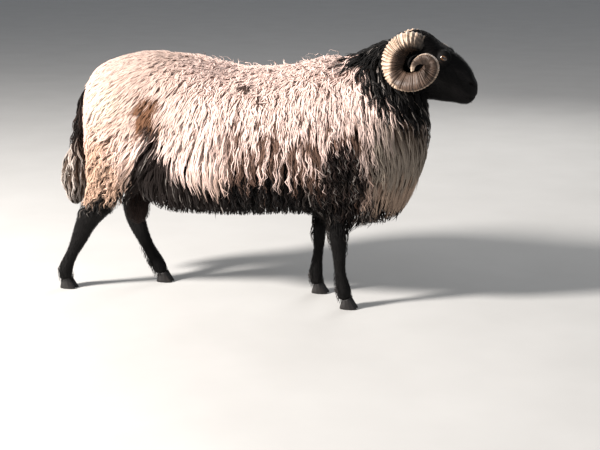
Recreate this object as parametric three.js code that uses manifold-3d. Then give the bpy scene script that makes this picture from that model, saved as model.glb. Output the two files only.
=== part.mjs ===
// A horned, black-faced mountain ram in full fleece, walking slowly, as a still life-size model.
// Millimetres, +Z up, the nose towards +X, the right side towards -Y. The origin is on the floor, under the
// middle of the animal. The body solids reach to the outside of the coat.

import * as THREE from "three";
import { mergeVertices } from "three/addons/utils/BufferGeometryUtils.js";
import Module from "manifold-3d";

const wasm = await Module();
wasm.setup();

// ---- Driving dimensions ----

const GAP = 0.35; // between neighbouring pieces
const BODY_SIDES = 24; // points around the trunk and neck
const HEAD_SIDES = 18;
const LIMB_SIDES = 10;
const HORN_SIDES = 12;

const EYE = { x: 607, y: 53, z: 803, radius: 15 };
const ORBIT = { x: 609, y: 44, z: 804, long: 24, wide: 22, high: 26 };

const SOLE_HEIGHT = 36; // height of the coronet, where the claws end
const CLAW = { width: 23, spread: 25, topLength: 44, soleLength: 60, toeReach: 8 };
const DEWCLAW = { radius: 8, drop: 10, spread: 13 };

const HORN = {
  startAngle: 50, // degrees, 0 is forward and 90 is up
  sweep: 515,
  centreX: [518, 518, 518, 518, 540, 568, 568, 568, 568], // of the coil, at equal steps from root to tip
  centreZ: 792,
  outerRadius: [74, 90, 91, 91, 74, 41, 38, 36, 41], // to the outside of the coil
  half: [28, 32, 33, 29, 26.5, 20.5, 17.5, 13, 5], // half thickness in the plane of the coil
  spread: [30, 68, 98, 120, 138, 153, 166, 178, 186], // distance from the middle plane
  squeeze: 0.86, // sideways thickness over the thickness in the plane of the coil
  corner: 0.12, // how three-cornered the section is
};

const EAR = { x: 531, y: 58, z: 798, length: 104, cup: 23, wall: 6, droop: 2, sweepBack: 7 };

// ---- Stations of the body, from the rump to the poll ----
// Each is a ring through a point on the back line (tx, tz) and one on the under line (bx, bz). half is its half
// width, low says how far up it is widest, crown and keel how square its upper and lower halves are.

const BODY = [
  { tx: -566, tz: 655, bx: -570, bz: 520, half: 44, low: 0.5, crown: 2.0, keel: 2.0 },
  { tx: -558, tz: 700, bx: -562, bz: 455, half: 86, low: 0.5, crown: 2.0, keel: 2.0 },
  { tx: -534, tz: 738, bx: -540, bz: 405, half: 136, low: 0.5, crown: 2.1, keel: 2.0 },
  { tx: -474, tz: 772, bx: -482, bz: 370, half: 186, low: 0.5, crown: 2.2, keel: 2.1 },
  { tx: -368, tz: 797, bx: -360, bz: 333, half: 209, low: 0.48, crown: 2.2, keel: 2.3 },
  { tx: -294, tz: 796, bx: -300, bz: 282, half: 217, low: 0.47, crown: 2.2, keel: 2.3 },
  { tx: -190, tz: 788, bx: -192, bz: 278, half: 224, low: 0.47, crown: 2.2, keel: 2.4 },
  { tx: -42, tz: 758, bx: -38, bz: 283, half: 229, low: 0.46, crown: 2.2, keel: 2.5 },
  { tx: 117, tz: 768, bx: 117, bz: 296, half: 226, low: 0.44, crown: 2.1, keel: 2.5 },
  { tx: 222, tz: 795, bx: 258, bz: 290, half: 214, low: 0.46, crown: 2.0, keel: 2.2 },
  { tx: 295, tz: 800, bx: 388, bz: 242, half: 198, low: 0.5, crown: 1.9, keel: 1.9 },
  { tx: 348, tz: 822, bx: 492, bz: 330, half: 175, low: 0.5, crown: 1.9, keel: 1.9 },
  { tx: 398, tz: 845, bx: 542, bz: 435, half: 148, low: 0.48, crown: 1.9, keel: 2.0 },
  { tx: 442, tz: 862, bx: 570, bz: 540, half: 122, low: 0.48, crown: 2.0, keel: 2.0 },
  { tx: 474, tz: 874, bx: 560, bz: 618, half: 98, low: 0.5, crown: 2.0, keel: 2.0 },
  { tx: 497, tz: 876, bx: 549, bz: 664, half: 80, low: 0.5, crown: 2.0, keel: 2.0 },
  { tx: 518, tz: 848, bx: 553, bz: 704, half: 48, low: 0.5, crown: 2.0, keel: 2.0 },
];
const NECK_STATION = 11; // the trunk ends and the neck begins here

// ---- Stations of the head, from inside the neck wool to the nose ----

const HEAD = [
  { tx: 478, tz: 862, bx: 520, bz: 690, half: 50, low: 0.55, crown: 2.2, keel: 2.0 },
  { tx: 508, tz: 882, bx: 544, bz: 671, half: 60, low: 0.58, crown: 2.3, keel: 2.0 },
  { tx: 543, tz: 878, bx: 570, bz: 668, half: 64, low: 0.62, crown: 2.4, keel: 2.0 },
  { tx: 574, tz: 858, bx: 594, bz: 665, half: 63, low: 0.64, crown: 2.5, keel: 2.0 },
  { tx: 602, tz: 838, bx: 614, bz: 663, half: 57, low: 0.62, crown: 2.4, keel: 2.0 },
  { tx: 629, tz: 822, bx: 634, bz: 662, half: 47, low: 0.58, crown: 2.2, keel: 2.1 },
  { tx: 653, tz: 806, bx: 652, bz: 659, half: 41, low: 0.52, crown: 2.1, keel: 2.2 },
  { tx: 676, tz: 784, bx: 669, bz: 657, half: 38, low: 0.48, crown: 2.1, keel: 2.3 },
  { tx: 694, tz: 756, bx: 685, bz: 660, half: 36, low: 0.48, crown: 2.2, keel: 2.3 },
  { tx: 706, tz: 728, bx: 699, bz: 670, half: 30, low: 0.5, crown: 2.3, keel: 2.2 },
  { tx: 711, tz: 708, bx: 707, bz: 685, half: 15, low: 0.5, crown: 2.0, keel: 2.0 },
];

// ---- Stations of the limbs, tail and scrotum: centre, half length a fore and aft, half width b ----

const LIMBS = {
  foreleg_right: [
    { x: 268, y: -104, z: 430, a: 84, b: 54 },
    { x: 284, y: -96, z: 350, a: 60, b: 44 },
    { x: 292, y: -88, z: 285, a: 41, b: 31 },
    { x: 293, y: -84, z: 226, a: 31, b: 28 },
    { x: 296, y: -81, z: 182, a: 25, b: 21 },
    { x: 299, y: -80, z: 122, a: 20, b: 18 },
    { x: 309, y: -80, z: 70, a: 25, b: 23 },
    { x: 318, y: -80, z: SOLE_HEIGHT + GAP, a: 23, b: 24 },
  ],
  foreleg_left: [
    { x: 236, y: 104, z: 430, a: 80, b: 54 },
    { x: 220, y: 96, z: 350, a: 55, b: 44 },
    { x: 202, y: 84, z: 285, a: 34, b: 31 },
    { x: 197, y: 76, z: 226, a: 26, b: 27 },
    { x: 196, y: 71, z: 182, a: 22, b: 21 },
    { x: 192, y: 69, z: 122, a: 19, b: 18 },
    { x: 186, y: 68, z: 70, a: 24, b: 23 },
    { x: 190, y: 68, z: SOLE_HEIGHT + GAP, a: 23, b: 24 },
  ],
  hindleg_right: [
    { x: -402, y: -96, z: 585, a: 92, b: 62 },
    { x: -412, y: -116, z: 510, a: 138, b: 86 },
    { x: -445, y: -116, z: 420, a: 112, b: 74 },
    { x: -492, y: -102, z: 335, a: 68, b: 52 },
    { x: -552, y: -88, z: 252, a: 42, b: 30 },
    { x: -589, y: -82, z: 180, a: 31, b: 23 },
    { x: -622, y: -80, z: 118, a: 22, b: 20 },
    { x: -645, y: -80, z: 72, a: 25, b: 23 },
    { x: -648, y: -80, z: SOLE_HEIGHT + GAP, a: 23, b: 24 },
  ],
  hindleg_left: [
    { x: -380, y: 96, z: 585, a: 92, b: 62 },
    { x: -374, y: 116, z: 510, a: 138, b: 86 },
    { x: -384, y: 116, z: 425, a: 112, b: 74 },
    { x: -424, y: 98, z: 335, a: 66, b: 50 },
    { x: -458, y: 80, z: 252, a: 43, b: 30 },
    { x: -437, y: 74, z: 180, a: 32, b: 23 },
    { x: -407, y: 71, z: 120, a: 24, b: 20 },
    { x: -378, y: 70, z: 72, a: 26, b: 23 },
    { x: -358, y: 70, z: SOLE_HEIGHT + GAP, a: 23, b: 24 },
  ],
};

const TAIL = [
  { x: -545, y: 0, z: 690, a: 16, b: 26 },
  { x: -584, y: 0, z: 655, a: 22, b: 32 },
  { x: -597, y: 0, z: 590, a: 24, b: 38 },
  { x: -609, y: 0, z: 506, a: 29, b: 45 },
  { x: -628, y: 0, z: 420, a: 45, b: 54 },
  { x: -635, y: 0, z: 356, a: 47, b: 54 },
  { x: -632, y: 0, z: 296, a: 30, b: 38 },
  { x: -629, y: 0, z: 256, a: 9, b: 12 },
];

const SCROTUM = [
  { x: -390, y: 0, z: 380, a: 28, b: 22 },
  { x: -400, y: 0, z: 330, a: 34, b: 28 },
  { x: -411, y: 0, z: 275, a: 43, b: 35 },
  { x: -415, y: 0, z: 234, a: 35, b: 30 },
  { x: -416, y: 0, z: 216, a: 8, b: 8 },
];

// Heights at which each leg is parted into upper leg, cannon and pastern.
const CUTS = {
  foreleg_right: { upper: 250, lower: 92 },
  foreleg_left: { upper: 250, lower: 92 },
  hindleg_right: { upper: 286, lower: 96 },
  hindleg_left: { upper: 286, lower: 96 },
};

// ---- Finishes ----

const finish = (color, roughness) => new THREE.MeshStandardMaterial({ color, roughness, metalness: 0 });
const FLEECE = finish(0xd9c6b8, 0.95);
const DARK_WOOL = finish(0x3a302c, 0.95);
const BLACK_HAIR = finish(0x0f0d0d, 0.8);
const HORN_SHEATH = finish(0xb08d74, 0.6);
const HOOF_HORN = finish(0x2a2522, 0.55);
const EYEBALL = finish(0x4a3618, 0.15);

// ---- Curves and lofts ----

const radians = THREE.MathUtils.degToRad;
const lerp = THREE.MathUtils.lerp;

// One value of a Catmull-Rom curve through four neighbours.
function catmull(p0, p1, p2, p3, t) {
  const v0 = (p2 - p0) / 2;
  const v1 = (p3 - p1) / 2;
  return (2 * p1 - 2 * p2 + v0 + v1) * t ** 3 + (3 * p2 - 3 * p1 - 2 * v0 - v1) * t ** 2 + v0 * t + p1;
}

// Stations between the given ones, with every field on a smooth curve.
function refine(stations, steps) {
  const at = (i) => stations[Math.min(stations.length - 1, Math.max(0, i))];
  const fine = [];
  for (let i = 0; i < stations.length - 1; i++)
    for (let k = 0; k < steps; k++) {
      const blend = (f) => catmull(at(i - 1)[f], at(i)[f], at(i + 1)[f], at(i + 2)[f], k / steps);
      fine.push(Object.fromEntries(Object.keys(stations[0]).map((f) => [f, blend(f)])));
    }
  fine.push({ ...stations.at(-1) });
  return fine;
}

const signedPower = (v, p) => Math.sign(v) * Math.abs(v) ** p;

// A ring across the body, in the plane of its back point, its under point and the Y axis.
function bodyRing(s, sides, grow) {
  const up = new THREE.Vector3(s.tx - s.bx, 0, s.tz - s.bz);
  const height = up.length() + 2 * grow;
  up.normalize();
  const foot = new THREE.Vector3(s.bx, 0, s.bz).addScaledVector(up, -grow);
  return Array.from({ length: sides }, (_, i) => {
    const turn = (2 * Math.PI * i) / sides;
    const square = 2 / (Math.cos(turn) > 0 ? s.crown : s.keel);
    const rise = signedPower(Math.cos(turn), square);
    const level = rise > 0 ? lerp(s.low, 1, rise) : s.low * (1 + rise);
    const side = signedPower(Math.sin(turn), square) * (s.half + grow);
    return foot.clone().addScaledVector(up, level * height).setY(side);
  });
}

// A ring across a limb. Its plane is square to the limb's course in side view.
function limbRing(stations, i, sides, grow, level = false) {
  const s = stations[i];
  const before = stations[Math.max(0, i - 1)];
  const after = stations[Math.min(stations.length - 1, i + 1)];
  const along = level
    ? new THREE.Vector3(0, 0, -1)
    : new THREE.Vector3(after.x - before.x, 0, after.z - before.z).normalize();
  const fore = new THREE.Vector3(-along.z, 0, along.x);
  return Array.from({ length: sides }, (_, k) => {
    const turn = (2 * Math.PI * k) / sides;
    return new THREE.Vector3(s.x, s.y + Math.sin(turn) * (s.b + grow), s.z)
      .addScaledVector(fore, Math.cos(turn) * (s.a + grow));
  });
}

const middle = (ring) => ring.reduce((sum, p) => sum.add(p), new THREE.Vector3()).divideScalar(ring.length);

// A closed solid through a row of rings with the same number of points. grow pushes both its ends out.
function loft(rings, grow = 0) {
  if (grow)
    for (const [end, next] of [[rings[0], rings[1]], [rings.at(-1), rings.at(-2)]]) {
      const out = middle(end).sub(middle(next)).setLength(grow);
      end.forEach((p) => p.add(out));
    }
  const sides = rings[0].length;
  const points = rings.flat();
  const faces = [];
  for (let r = 0; r < rings.length - 1; r++)
    for (let i = 0; i < sides; i++) {
      const [a, b] = [r * sides + i, r * sides + ((i + 1) % sides)];
      faces.push(a, b, b + sides, a, b + sides, a + sides);
    }
  for (const [ring, start, turned] of [[rings[0], 0, true], [rings.at(-1), (rings.length - 1) * sides, false]]) {
    const hub = points.length;
    points.push(middle(ring));
    for (let i = 0; i < sides; i++) {
      const [a, b] = [start + i, start + ((i + 1) % sides)];
      faces.push(...(turned ? [b, a, hub] : [a, b, hub]));
    }
  }
  const geometry = new THREE.BufferGeometry().setFromPoints(points);
  geometry.setIndex(faces);
  return solidOf(geometry);
}

// A manifold solid from a closed geometry, turned the right way out.
function solidOf(geometry) {
  for (const name of ["normal", "uv"]) geometry.deleteAttribute(name);
  const merged = mergeVertices(geometry, 1e-3);
  const vertProperties = merged.attributes.position.array;
  const triVerts = new Uint32Array(merged.index.array);
  const made = new wasm.Manifold(new wasm.Mesh({ numProp: 3, vertProperties, triVerts }));
  if (made.volume() > 0) return made;
  triVerts.reverse();
  return new wasm.Manifold(new wasm.Mesh({ numProp: 3, vertProperties, triVerts }));
}

const largest = (solid) => solid.decompose().sort((a, b) => b.volume() - a.volume())[0];

function bodySolid(stations, sides, grow = 0) {
  return loft(refine(stations, 2).map((s) => bodyRing(s, sides, grow)), grow);
}

function limbSolid(stations, steps, grow = 0, sides = LIMB_SIDES) {
  const fine = refine(stations, steps);
  const rings = fine.map((_, i) => limbRing(fine, i, sides, grow, stations !== TAIL && i === fine.length - 1));
  return loft(rings, grow);
}

function ellipsoid({ x, y, z }, radii, across = 12, down = 7) {
  const geometry = new THREE.SphereGeometry(1, across, down);
  geometry.rotateX(Math.PI / 2).scale(...radii).translate(x, y, z);
  return solidOf(geometry);
}

// A thin slab through the middle plane that parts a solid in two.
function slab(centre, normal, thickness = GAP, reach = 900) {
  const geometry = new THREE.BoxGeometry(reach, reach, thickness);
  geometry.applyQuaternion(new THREE.Quaternion().setFromUnitVectors(new THREE.Vector3(0, 0, 1), normal));
  geometry.translate(centre.x, centre.y, centre.z);
  return solidOf(geometry);
}

// ---- The parts ----

function trunkAndNeck() {
  const whole = bodySolid(BODY, BODY_SIDES);
  const s = BODY[NECK_STATION];
  const top = new THREE.Vector3(s.tx, 0, s.tz);
  const bottom = new THREE.Vector3(s.bx, 0, s.bz);
  const up = top.clone().sub(bottom).normalize();
  const cut = slab(top.lerp(bottom, 0.5), new THREE.Vector3(up.z, 0, -up.x));
  const [trunk, neck] = whole.subtract(cut).decompose().sort((a, b) => b.volume() - a.volume());
  return { trunk, neck, whole };
}

// One value of a smooth curve through a row of numbers at equal steps, at share t of its length.
function along(row, t) {
  const last = row.length - 1;
  const i = Math.min(last - 1, Math.floor(t * last));
  const pick = (k) => row[Math.min(last, Math.max(0, k))];
  return catmull(pick(i - 1), pick(i), pick(i + 1), pick(i + 2), t * last - i);
}

// A horn's centre, the outward direction across it and its half thickness, at share t of its length.
function hornStation(t, side) {
  const angle = radians(HORN.startAngle + HORN.sweep * t);
  const out = new THREE.Vector3(Math.cos(angle), 0, Math.sin(angle));
  const half = along(HORN.half, t);
  const centre = new THREE.Vector3(along(HORN.centreX, t), side * along(HORN.spread, t), HORN.centreZ);
  return { centre: centre.addScaledVector(out, along(HORN.outerRadius, t) - half), out, half };
}

function horn(side, rings = 32) {
  const made = Array.from({ length: rings + 1 }, (_, r) => {
    const { centre, out, half } = hornStation(r / rings, side);
    return Array.from({ length: HORN_SIDES }, (_, i) => {
      const turn = (2 * Math.PI * i) / HORN_SIDES;
      const reach = half * (1 - HORN.corner * Math.cos(3 * turn));
      return centre.clone()
        .addScaledVector(out, reach * Math.cos(turn))
        .add(new THREE.Vector3(0, side * reach * HORN.squeeze * Math.sin(turn), 0));
    });
  });
  return loft(made);
}

// A leaf that is cupped to the front: a tube at its root that opens out and closes to a point.
function ear(side, rings = 8, arc = 6) {
  const tilt = new THREE.Vector3(-Math.sin(radians(EAR.sweepBack)), side, -Math.sin(radians(EAR.droop))).normalize();
  const front = new THREE.Vector3(1, 0, 0).addScaledVector(tilt, -tilt.x).normalize();
  const up = new THREE.Vector3().crossVectors(tilt, front).normalize();
  const made = Array.from({ length: rings + 1 }, (_, r) => {
    const t = r / rings;
    const width = EAR.cup * (0.5 + 1.15 * t) * Math.sqrt(Math.max(0.02, 1 - t ** 2.6));
    const open = radians(lerp(150, 62, t ** 0.6));
    const wall = lerp(EAR.wall, 3.5, t);
    const radius = width / Math.max(0.75, Math.sin(Math.min(open, Math.PI / 2)));
    const root = new THREE.Vector3(EAR.x, side * EAR.y, EAR.z).addScaledVector(tilt, t * EAR.length);
    const at = (turn, r) => root.clone()
      .addScaledVector(up, r * Math.sin(turn))
      .addScaledVector(front, radius * 0.7 - r * Math.cos(turn));
    const outer = Array.from({ length: arc }, (_, k) => at(lerp(-open, open, k / (arc - 1)), radius));
    const inner = Array.from({ length: arc }, (_, k) => at(lerp(open, -open, k / (arc - 1)), radius - wall));
    return [...outer, ...inner];
  });
  return loft(made);
}

// One claw of a cloven hoof, flat underneath, with its toe to the front.
function claw(foot, side) {
  const levels = [0, 0.1, 1];
  const made = levels.map((t) => {
    const half = lerp(CLAW.soleLength, CLAW.topLength, t) / 2 - (t === 0 ? 1.5 : 0);
    const wide = (CLAW.width / 2) * (t === 0 ? 0.92 : 1 - 0.06 * t);
    const centre = new THREE.Vector3(
      foot.x + CLAW.toeReach * (1 - t) + 4,
      foot.y + (side * CLAW.spread) / 2,
      t * SOLE_HEIGHT * 0.999,
    );
    return Array.from({ length: 10 }, (_, i) => {
      const turn = (2 * Math.PI * i) / 10;
      const toe = Math.cos(turn) > 0 ? 1 - 0.22 * Math.cos(turn) ** 2 : 1;
      return centre.clone().add(new THREE.Vector3(half * Math.cos(turn), wide * toe * Math.sin(turn), 0));
    });
  });
  return loft(made);
}

// ---- Assembly ----

const sheep = new THREE.Group();
sheep.name = "sheep";

function add(name, solid, material) {
  const { vertProperties, triVerts } = solid.getMesh();
  const geometry = new THREE.BufferGeometry();
  geometry.setAttribute("position", new THREE.BufferAttribute(vertProperties, 3));
  geometry.setIndex(new THREE.BufferAttribute(triVerts, 1));
  geometry.computeVertexNormals();
  const mesh = new THREE.Mesh(geometry, material);
  mesh.name = name;
  sheep.add(mesh);
}

const { trunk, neck, whole } = trunkAndNeck();
const grownBody = bodySolid(BODY, BODY_SIDES, GAP);
let carvedTrunk = trunk;
const grownLegs = [];

for (const [name, stations] of Object.entries(LIMBS)) {
  const hind = name.startsWith("hind");
  const side = name.endsWith("left") ? 1 : -1;
  let leg = limbSolid(stations, 2);
  const grown = limbSolid(stations, 2, GAP);
  grownLegs.push(grown);
  if (hind) carvedTrunk = carvedTrunk.subtract(grown);
  else leg = largest(leg.subtract(grownBody));
  const level = new THREE.Vector3(0, 0, 1);
  for (const z of Object.values(CUTS[name])) leg = leg.subtract(slab({ x: 0, y: 0, z }, level, GAP, 2000));
  const pieces = leg.decompose().sort((a, b) => b.boundingBox().max[2] - a.boundingBox().max[2]);
  const labels = [hind ? "thigh" : "forearm", "cannon", "pastern"];
  labels.forEach((label, i) => add(`${name}_${label}`, pieces[i], i ? BLACK_HAIR : hind ? FLEECE : DARK_WOOL));

  const foot = stations.at(-1);
  const fetlock = stations.at(-2);
  for (const [where, way] of [["outer", side], ["inner", -side]]) {
    add(`${name}_claw_${where}`, claw(foot, way), HOOF_HORN);
    const back = { x: fetlock.x - fetlock.a, y: fetlock.y + way * DEWCLAW.spread, z: fetlock.z - DEWCLAW.drop };
    const { radius } = DEWCLAW;
    const spur = ellipsoid(back, [radius * 1.2, radius * 0.8, radius * 1.5], 6, 4);
    add(`${name}_dewclaw_${where}`, largest(spur.subtract(grown)), HOOF_HORN);
  }
}

add("trunk", largest(carvedTrunk), FLEECE);

let scrotum = limbSolid(SCROTUM, 2).subtract(grownBody);
for (const grown of grownLegs) scrotum = scrotum.subtract(grown);
add("scrotum", largest(scrotum), DARK_WOOL);

let tail = limbSolid(TAIL, 2).subtract(grownBody);
for (const grown of grownLegs) tail = tail.subtract(grown);
add("tail", largest(tail), DARK_WOOL);

const skull = (grow) => {
  let made = bodySolid(HEAD, HEAD_SIDES, grow);
  for (const side of [-1, 1]) {
    const brow = [ORBIT.long + grow, ORBIT.wide + grow, ORBIT.high + grow];
    made = made.add(ellipsoid({ ...ORBIT, y: side * ORBIT.y }, brow));
  }
  return made;
};
const grownHead = skull(GAP);
const socket = EYE.radius + GAP;

let head = skull(0).subtract(grownBody);
for (const side of [-1, 1]) head = head.subtract(ellipsoid({ ...EYE, y: side * EYE.y }, [socket, socket, socket]));
add("head", largest(head), BLACK_HAIR);
add("neck", neck, FLEECE);

for (const [label, side] of [["right", -1], ["left", 1]]) {
  const ball = EYE.radius;
  add(`eye_${label}`, ellipsoid({ ...EYE, y: side * EYE.y }, [ball, ball, ball]), EYEBALL);
  add(`horn_${label}`, largest(horn(side).subtract(grownHead).subtract(grownBody)), HORN_SHEATH);
  add(`ear_${label}`, largest(ear(side).subtract(grownHead).subtract(grownBody)), BLACK_HAIR);
}

const box = new THREE.Box3().setFromObject(sheep);
sheep.position.x = -(box.min.x + box.max.x) / 2;

export default sheep;
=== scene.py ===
# %% [markdown]
# # A horned ram in full fleece
# The plain solids of a life-size ram come in as a frame. This notebook gives it one skin, eyes, ridged
# horns, hooves, and a coat of mesh locks that hang the way a long mountain fleece hangs.
# Everything is in metres, the nose points to +X, the right side to -Y, and the floor is at Z = 0.

import math

import bmesh
import bpy
import numpy as np
from mathutils import Matrix, Vector
from mathutils.bvhtree import BVHTree
from mathutils.kdtree import KDTree


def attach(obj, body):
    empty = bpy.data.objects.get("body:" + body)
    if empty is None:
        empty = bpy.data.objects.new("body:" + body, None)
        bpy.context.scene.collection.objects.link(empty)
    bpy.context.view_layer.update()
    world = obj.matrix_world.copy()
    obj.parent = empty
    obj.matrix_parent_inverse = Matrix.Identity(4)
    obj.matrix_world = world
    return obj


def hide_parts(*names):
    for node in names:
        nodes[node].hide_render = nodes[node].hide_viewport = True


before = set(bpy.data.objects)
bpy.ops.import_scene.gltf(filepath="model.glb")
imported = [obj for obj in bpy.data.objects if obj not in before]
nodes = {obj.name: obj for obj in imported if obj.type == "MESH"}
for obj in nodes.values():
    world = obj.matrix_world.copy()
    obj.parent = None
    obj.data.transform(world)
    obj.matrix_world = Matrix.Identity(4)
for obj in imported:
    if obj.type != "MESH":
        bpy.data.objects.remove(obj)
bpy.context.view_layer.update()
SHIFT = -0.0145  # from the animal's own measuring point to the middle of its box, along X

# %% [markdown]
# ## Studio
# A pale floor, a large soft light up to the left, a weak one from the right and a pale world. The camera
# stands ahead of the animal's right shoulder, a little above it, and looks slightly down.


# %% Camera and lights
def add_object(name, data):
    made = bpy.data.objects.new(name, data)
    bpy.context.scene.collection.objects.link(made)
    return made


def soft_light(name, place, target, size, power, colour):
    lamp = bpy.data.lights.new(name, "AREA")
    lamp.shape = "DISK"
    lamp.size = size
    lamp.energy = power
    lamp.color = colour
    made = add_object(name, lamp)
    made.location = place
    made.rotation_euler = (Vector(target) - Vector(place)).to_track_quat("-Z", "Y").to_euler()
    return made


TURN = math.radians(14.0)
LOOK_DOWN = math.radians(13.839)

camera = add_object("camera", bpy.data.cameras.new("camera"))
camera.data.sensor_width = 36.0
camera.data.lens = 75.0
camera.location = (1.1035 + SHIFT, -3.8316, 1.2169)
camera.rotation_euler = (math.pi / 2 - LOOK_DOWN, 0.0, TURN)
bpy.context.scene.camera = camera

soft_light("key", (-3.8, -2.9, 3.2), (-0.1, 0.0, 0.5), 0.9, 900.0, (1.0, 0.95, 0.90))
soft_light("fill", (3.4, -2.6, 1.8), (0.2, 0.0, 0.5), 2.6, 14.0, (0.92, 0.96, 1.0))
soft_light("back", (0.6, 3.6, 2.6), (0.0, 0.0, 0.5), 2.2, 60.0, (1.0, 0.98, 0.95))

world = bpy.data.worlds.new("studio")
world.use_nodes = True
world.node_tree.nodes["Background"].inputs["Color"].default_value = (0.86, 0.90, 0.96, 1.0)
world.node_tree.nodes["Background"].inputs["Strength"].default_value = 0.30
bpy.context.scene.world = world
bpy.context.scene.view_settings.view_transform = "Standard"
bpy.context.scene.view_settings.look = "None"

# %% Floor
bm = bmesh.new()
bmesh.ops.create_grid(bm, x_segments=2, y_segments=2, size=80.0)
floor_mesh = bpy.data.meshes.new("floor")
bm.to_mesh(floor_mesh)
bm.free()
floor = add_object("floor", floor_mesh)
floor.location.z = -0.0005

# %% [markdown]
# ## Finishes
# Wool, hair, horn and hoof are all built up from the same few effects: a fine grain that runs along the growth,
# and slow blotches of colour. The grain of the locks is a node group that the wool and hair materials both place.


# %% Node helpers
def new_group(name, inputs, outputs):
    tree = bpy.data.node_groups.new(name, "ShaderNodeTree")
    for label, kind, value in inputs:
        socket = tree.interface.new_socket(label, in_out="INPUT", socket_type=kind)
        if value is not None:
            socket.default_value = value
    for label, kind in outputs:
        tree.interface.new_socket(label, in_out="OUTPUT", socket_type=kind)
    return tree, tree.nodes.new("NodeGroupInput"), tree.nodes.new("NodeGroupOutput")


def place_group(tree, group, **values):
    node = tree.nodes.new("ShaderNodeGroup")
    node.node_tree = group
    for label, value in values.items():
        node.inputs[label.replace("_", " ")].default_value = value
    return node


def noise(tree, vector, scale, detail=3.0, roughness=0.55):
    node = tree.nodes.new("ShaderNodeTexNoise")
    node.inputs["Scale"].default_value = scale
    node.inputs["Detail"].default_value = detail
    node.inputs["Roughness"].default_value = roughness
    tree.links.new(vector, node.inputs["Vector"])
    return node.outputs["Fac"]


def ramp(tree, value, stops):
    node = tree.nodes.new("ShaderNodeValToRGB")
    band = node.color_ramp
    while len(band.elements) < len(stops):
        band.elements.new(0.5)
    for element, (place, colour) in zip(band.elements, stops):
        element.position = place
        element.color = (*colour, 1.0)
    tree.links.new(value, node.inputs["Fac"])
    return node.outputs["Color"]


def mix(tree, factor, first, second, blend="MIX"):
    node = tree.nodes.new("ShaderNodeMix")
    node.data_type = "RGBA"
    node.blend_type = blend
    for socket, value in ((node.inputs[0], factor), (node.inputs[6], first), (node.inputs[7], second)):
        if isinstance(value, bpy.types.NodeSocket):
            tree.links.new(value, socket)
        else:
            socket.default_value = value
    return node.outputs[2]


def maths(tree, operation, *values):
    node = tree.nodes.new("ShaderNodeMath")
    node.operation = operation
    for socket, value in zip(node.inputs, values):
        if isinstance(value, bpy.types.NodeSocket):
            tree.links.new(value, socket)
        else:
            socket.default_value = value
    return node.outputs[0]


def new_material(name):
    made = bpy.data.materials.new(name)
    made.use_nodes = True
    return made, made.node_tree, made.node_tree.nodes["Principled BSDF"]


def bump(tree, shader, height, strength, distance):
    node = tree.nodes.new("ShaderNodeBump")
    node.inputs["Strength"].default_value = strength
    node.inputs["Distance"].default_value = distance
    tree.links.new(height, node.inputs["Height"])
    tree.links.new(node.outputs["Normal"], shader.inputs["Normal"])


# %% Fibre group: fine strands along a lock, as a colour factor and a height
fibre, g_in, g_out = new_group(
    "fibre",
    [("Vector", "NodeSocketVector", None), ("Across", "NodeSocketFloat", 1400.0), ("Along", "NodeSocketFloat", 45.0)],
    [("Strand", "NodeSocketFloat")],
)
stretch = fibre.nodes.new("ShaderNodeVectorMath")
stretch.operation = "MULTIPLY"
scales = fibre.nodes.new("ShaderNodeCombineXYZ")
fibre.links.new(g_in.outputs["Across"], scales.inputs["X"])
fibre.links.new(g_in.outputs["Along"], scales.inputs["Y"])
fibre.links.new(g_in.outputs["Vector"], stretch.inputs[0])
fibre.links.new(scales.outputs[0], stretch.inputs[1])
fibre.links.new(noise(fibre, stretch.outputs[0], 1.0, 2.0), g_out.inputs["Strand"])


# %% Wool and hair materials
def lock_material(name, roughness, strength, sheen):
    """Colour comes from each lock's own attribute, and fine strands from its own map."""
    made, tree, shader = new_material(name)
    colour = tree.nodes.new("ShaderNodeAttribute")
    colour.attribute_name = "tint"
    own_map = tree.nodes.new("ShaderNodeUVMap")
    own_map.uv_map = "growth"
    strand = place_group(tree, fibre)
    tree.links.new(own_map.outputs["UV"], strand.inputs["Vector"])
    shade = ramp(tree, strand.outputs["Strand"], [(0.30, (0.66, 0.64, 0.62)), (0.62, (1.08, 1.07, 1.06))])
    tree.links.new(mix(tree, 1.0, colour.outputs["Color"], shade, "MULTIPLY"), shader.inputs["Base Color"])
    shader.inputs["Roughness"].default_value = roughness
    shader.inputs["Specular IOR Level"].default_value = 0.14
    shader.inputs["Sheen Weight"].default_value = sheen
    shader.inputs["Sheen Roughness"].default_value = 0.5
    bump(tree, shader, strand.outputs["Strand"], strength, 0.0012)
    return made


def skin_material():
    made, tree, shader = new_material("skin")
    place = tree.nodes.new("ShaderNodeTexCoord").outputs["Object"]
    colour = tree.nodes.new("ShaderNodeAttribute")
    colour.attribute_name = "tint"
    grain = noise(tree, place, 900.0, 3.0)
    patches = noise(tree, place, 38.0, 4.0)
    shade = ramp(tree, patches, [(0.3, (0.72, 0.70, 0.68)), (0.7, (1.25, 1.2, 1.18))])
    tree.links.new(mix(tree, 1.0, colour.outputs["Color"], shade, "MULTIPLY"), shader.inputs["Base Color"])
    shader.inputs["Roughness"].default_value = 0.66
    shader.inputs["Specular IOR Level"].default_value = 0.14
    bump(tree, shader, grain, 0.55, 0.0009)
    return made


def floor_material():
    made, tree, shader = new_material("floor")
    place = tree.nodes.new("ShaderNodeTexCoord").outputs["Object"]
    shade = ramp(tree, noise(tree, place, 3.0), [(0.3, (0.47, 0.465, 0.455)), (0.7, (0.50, 0.495, 0.485))])
    tree.links.new(shade, shader.inputs["Base Color"])
    shader.inputs["Roughness"].default_value = 0.85
    return made


WOOL = lock_material("wool", 0.88, 0.30, 0.06)
HAIR = lock_material("hair", 0.62, 0.25, 0.0)
HAIR.node_tree.nodes["Principled BSDF"].inputs["Specular IOR Level"].default_value = 0.10

SKIN = skin_material()
floor.data.materials.append(floor_material())

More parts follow.
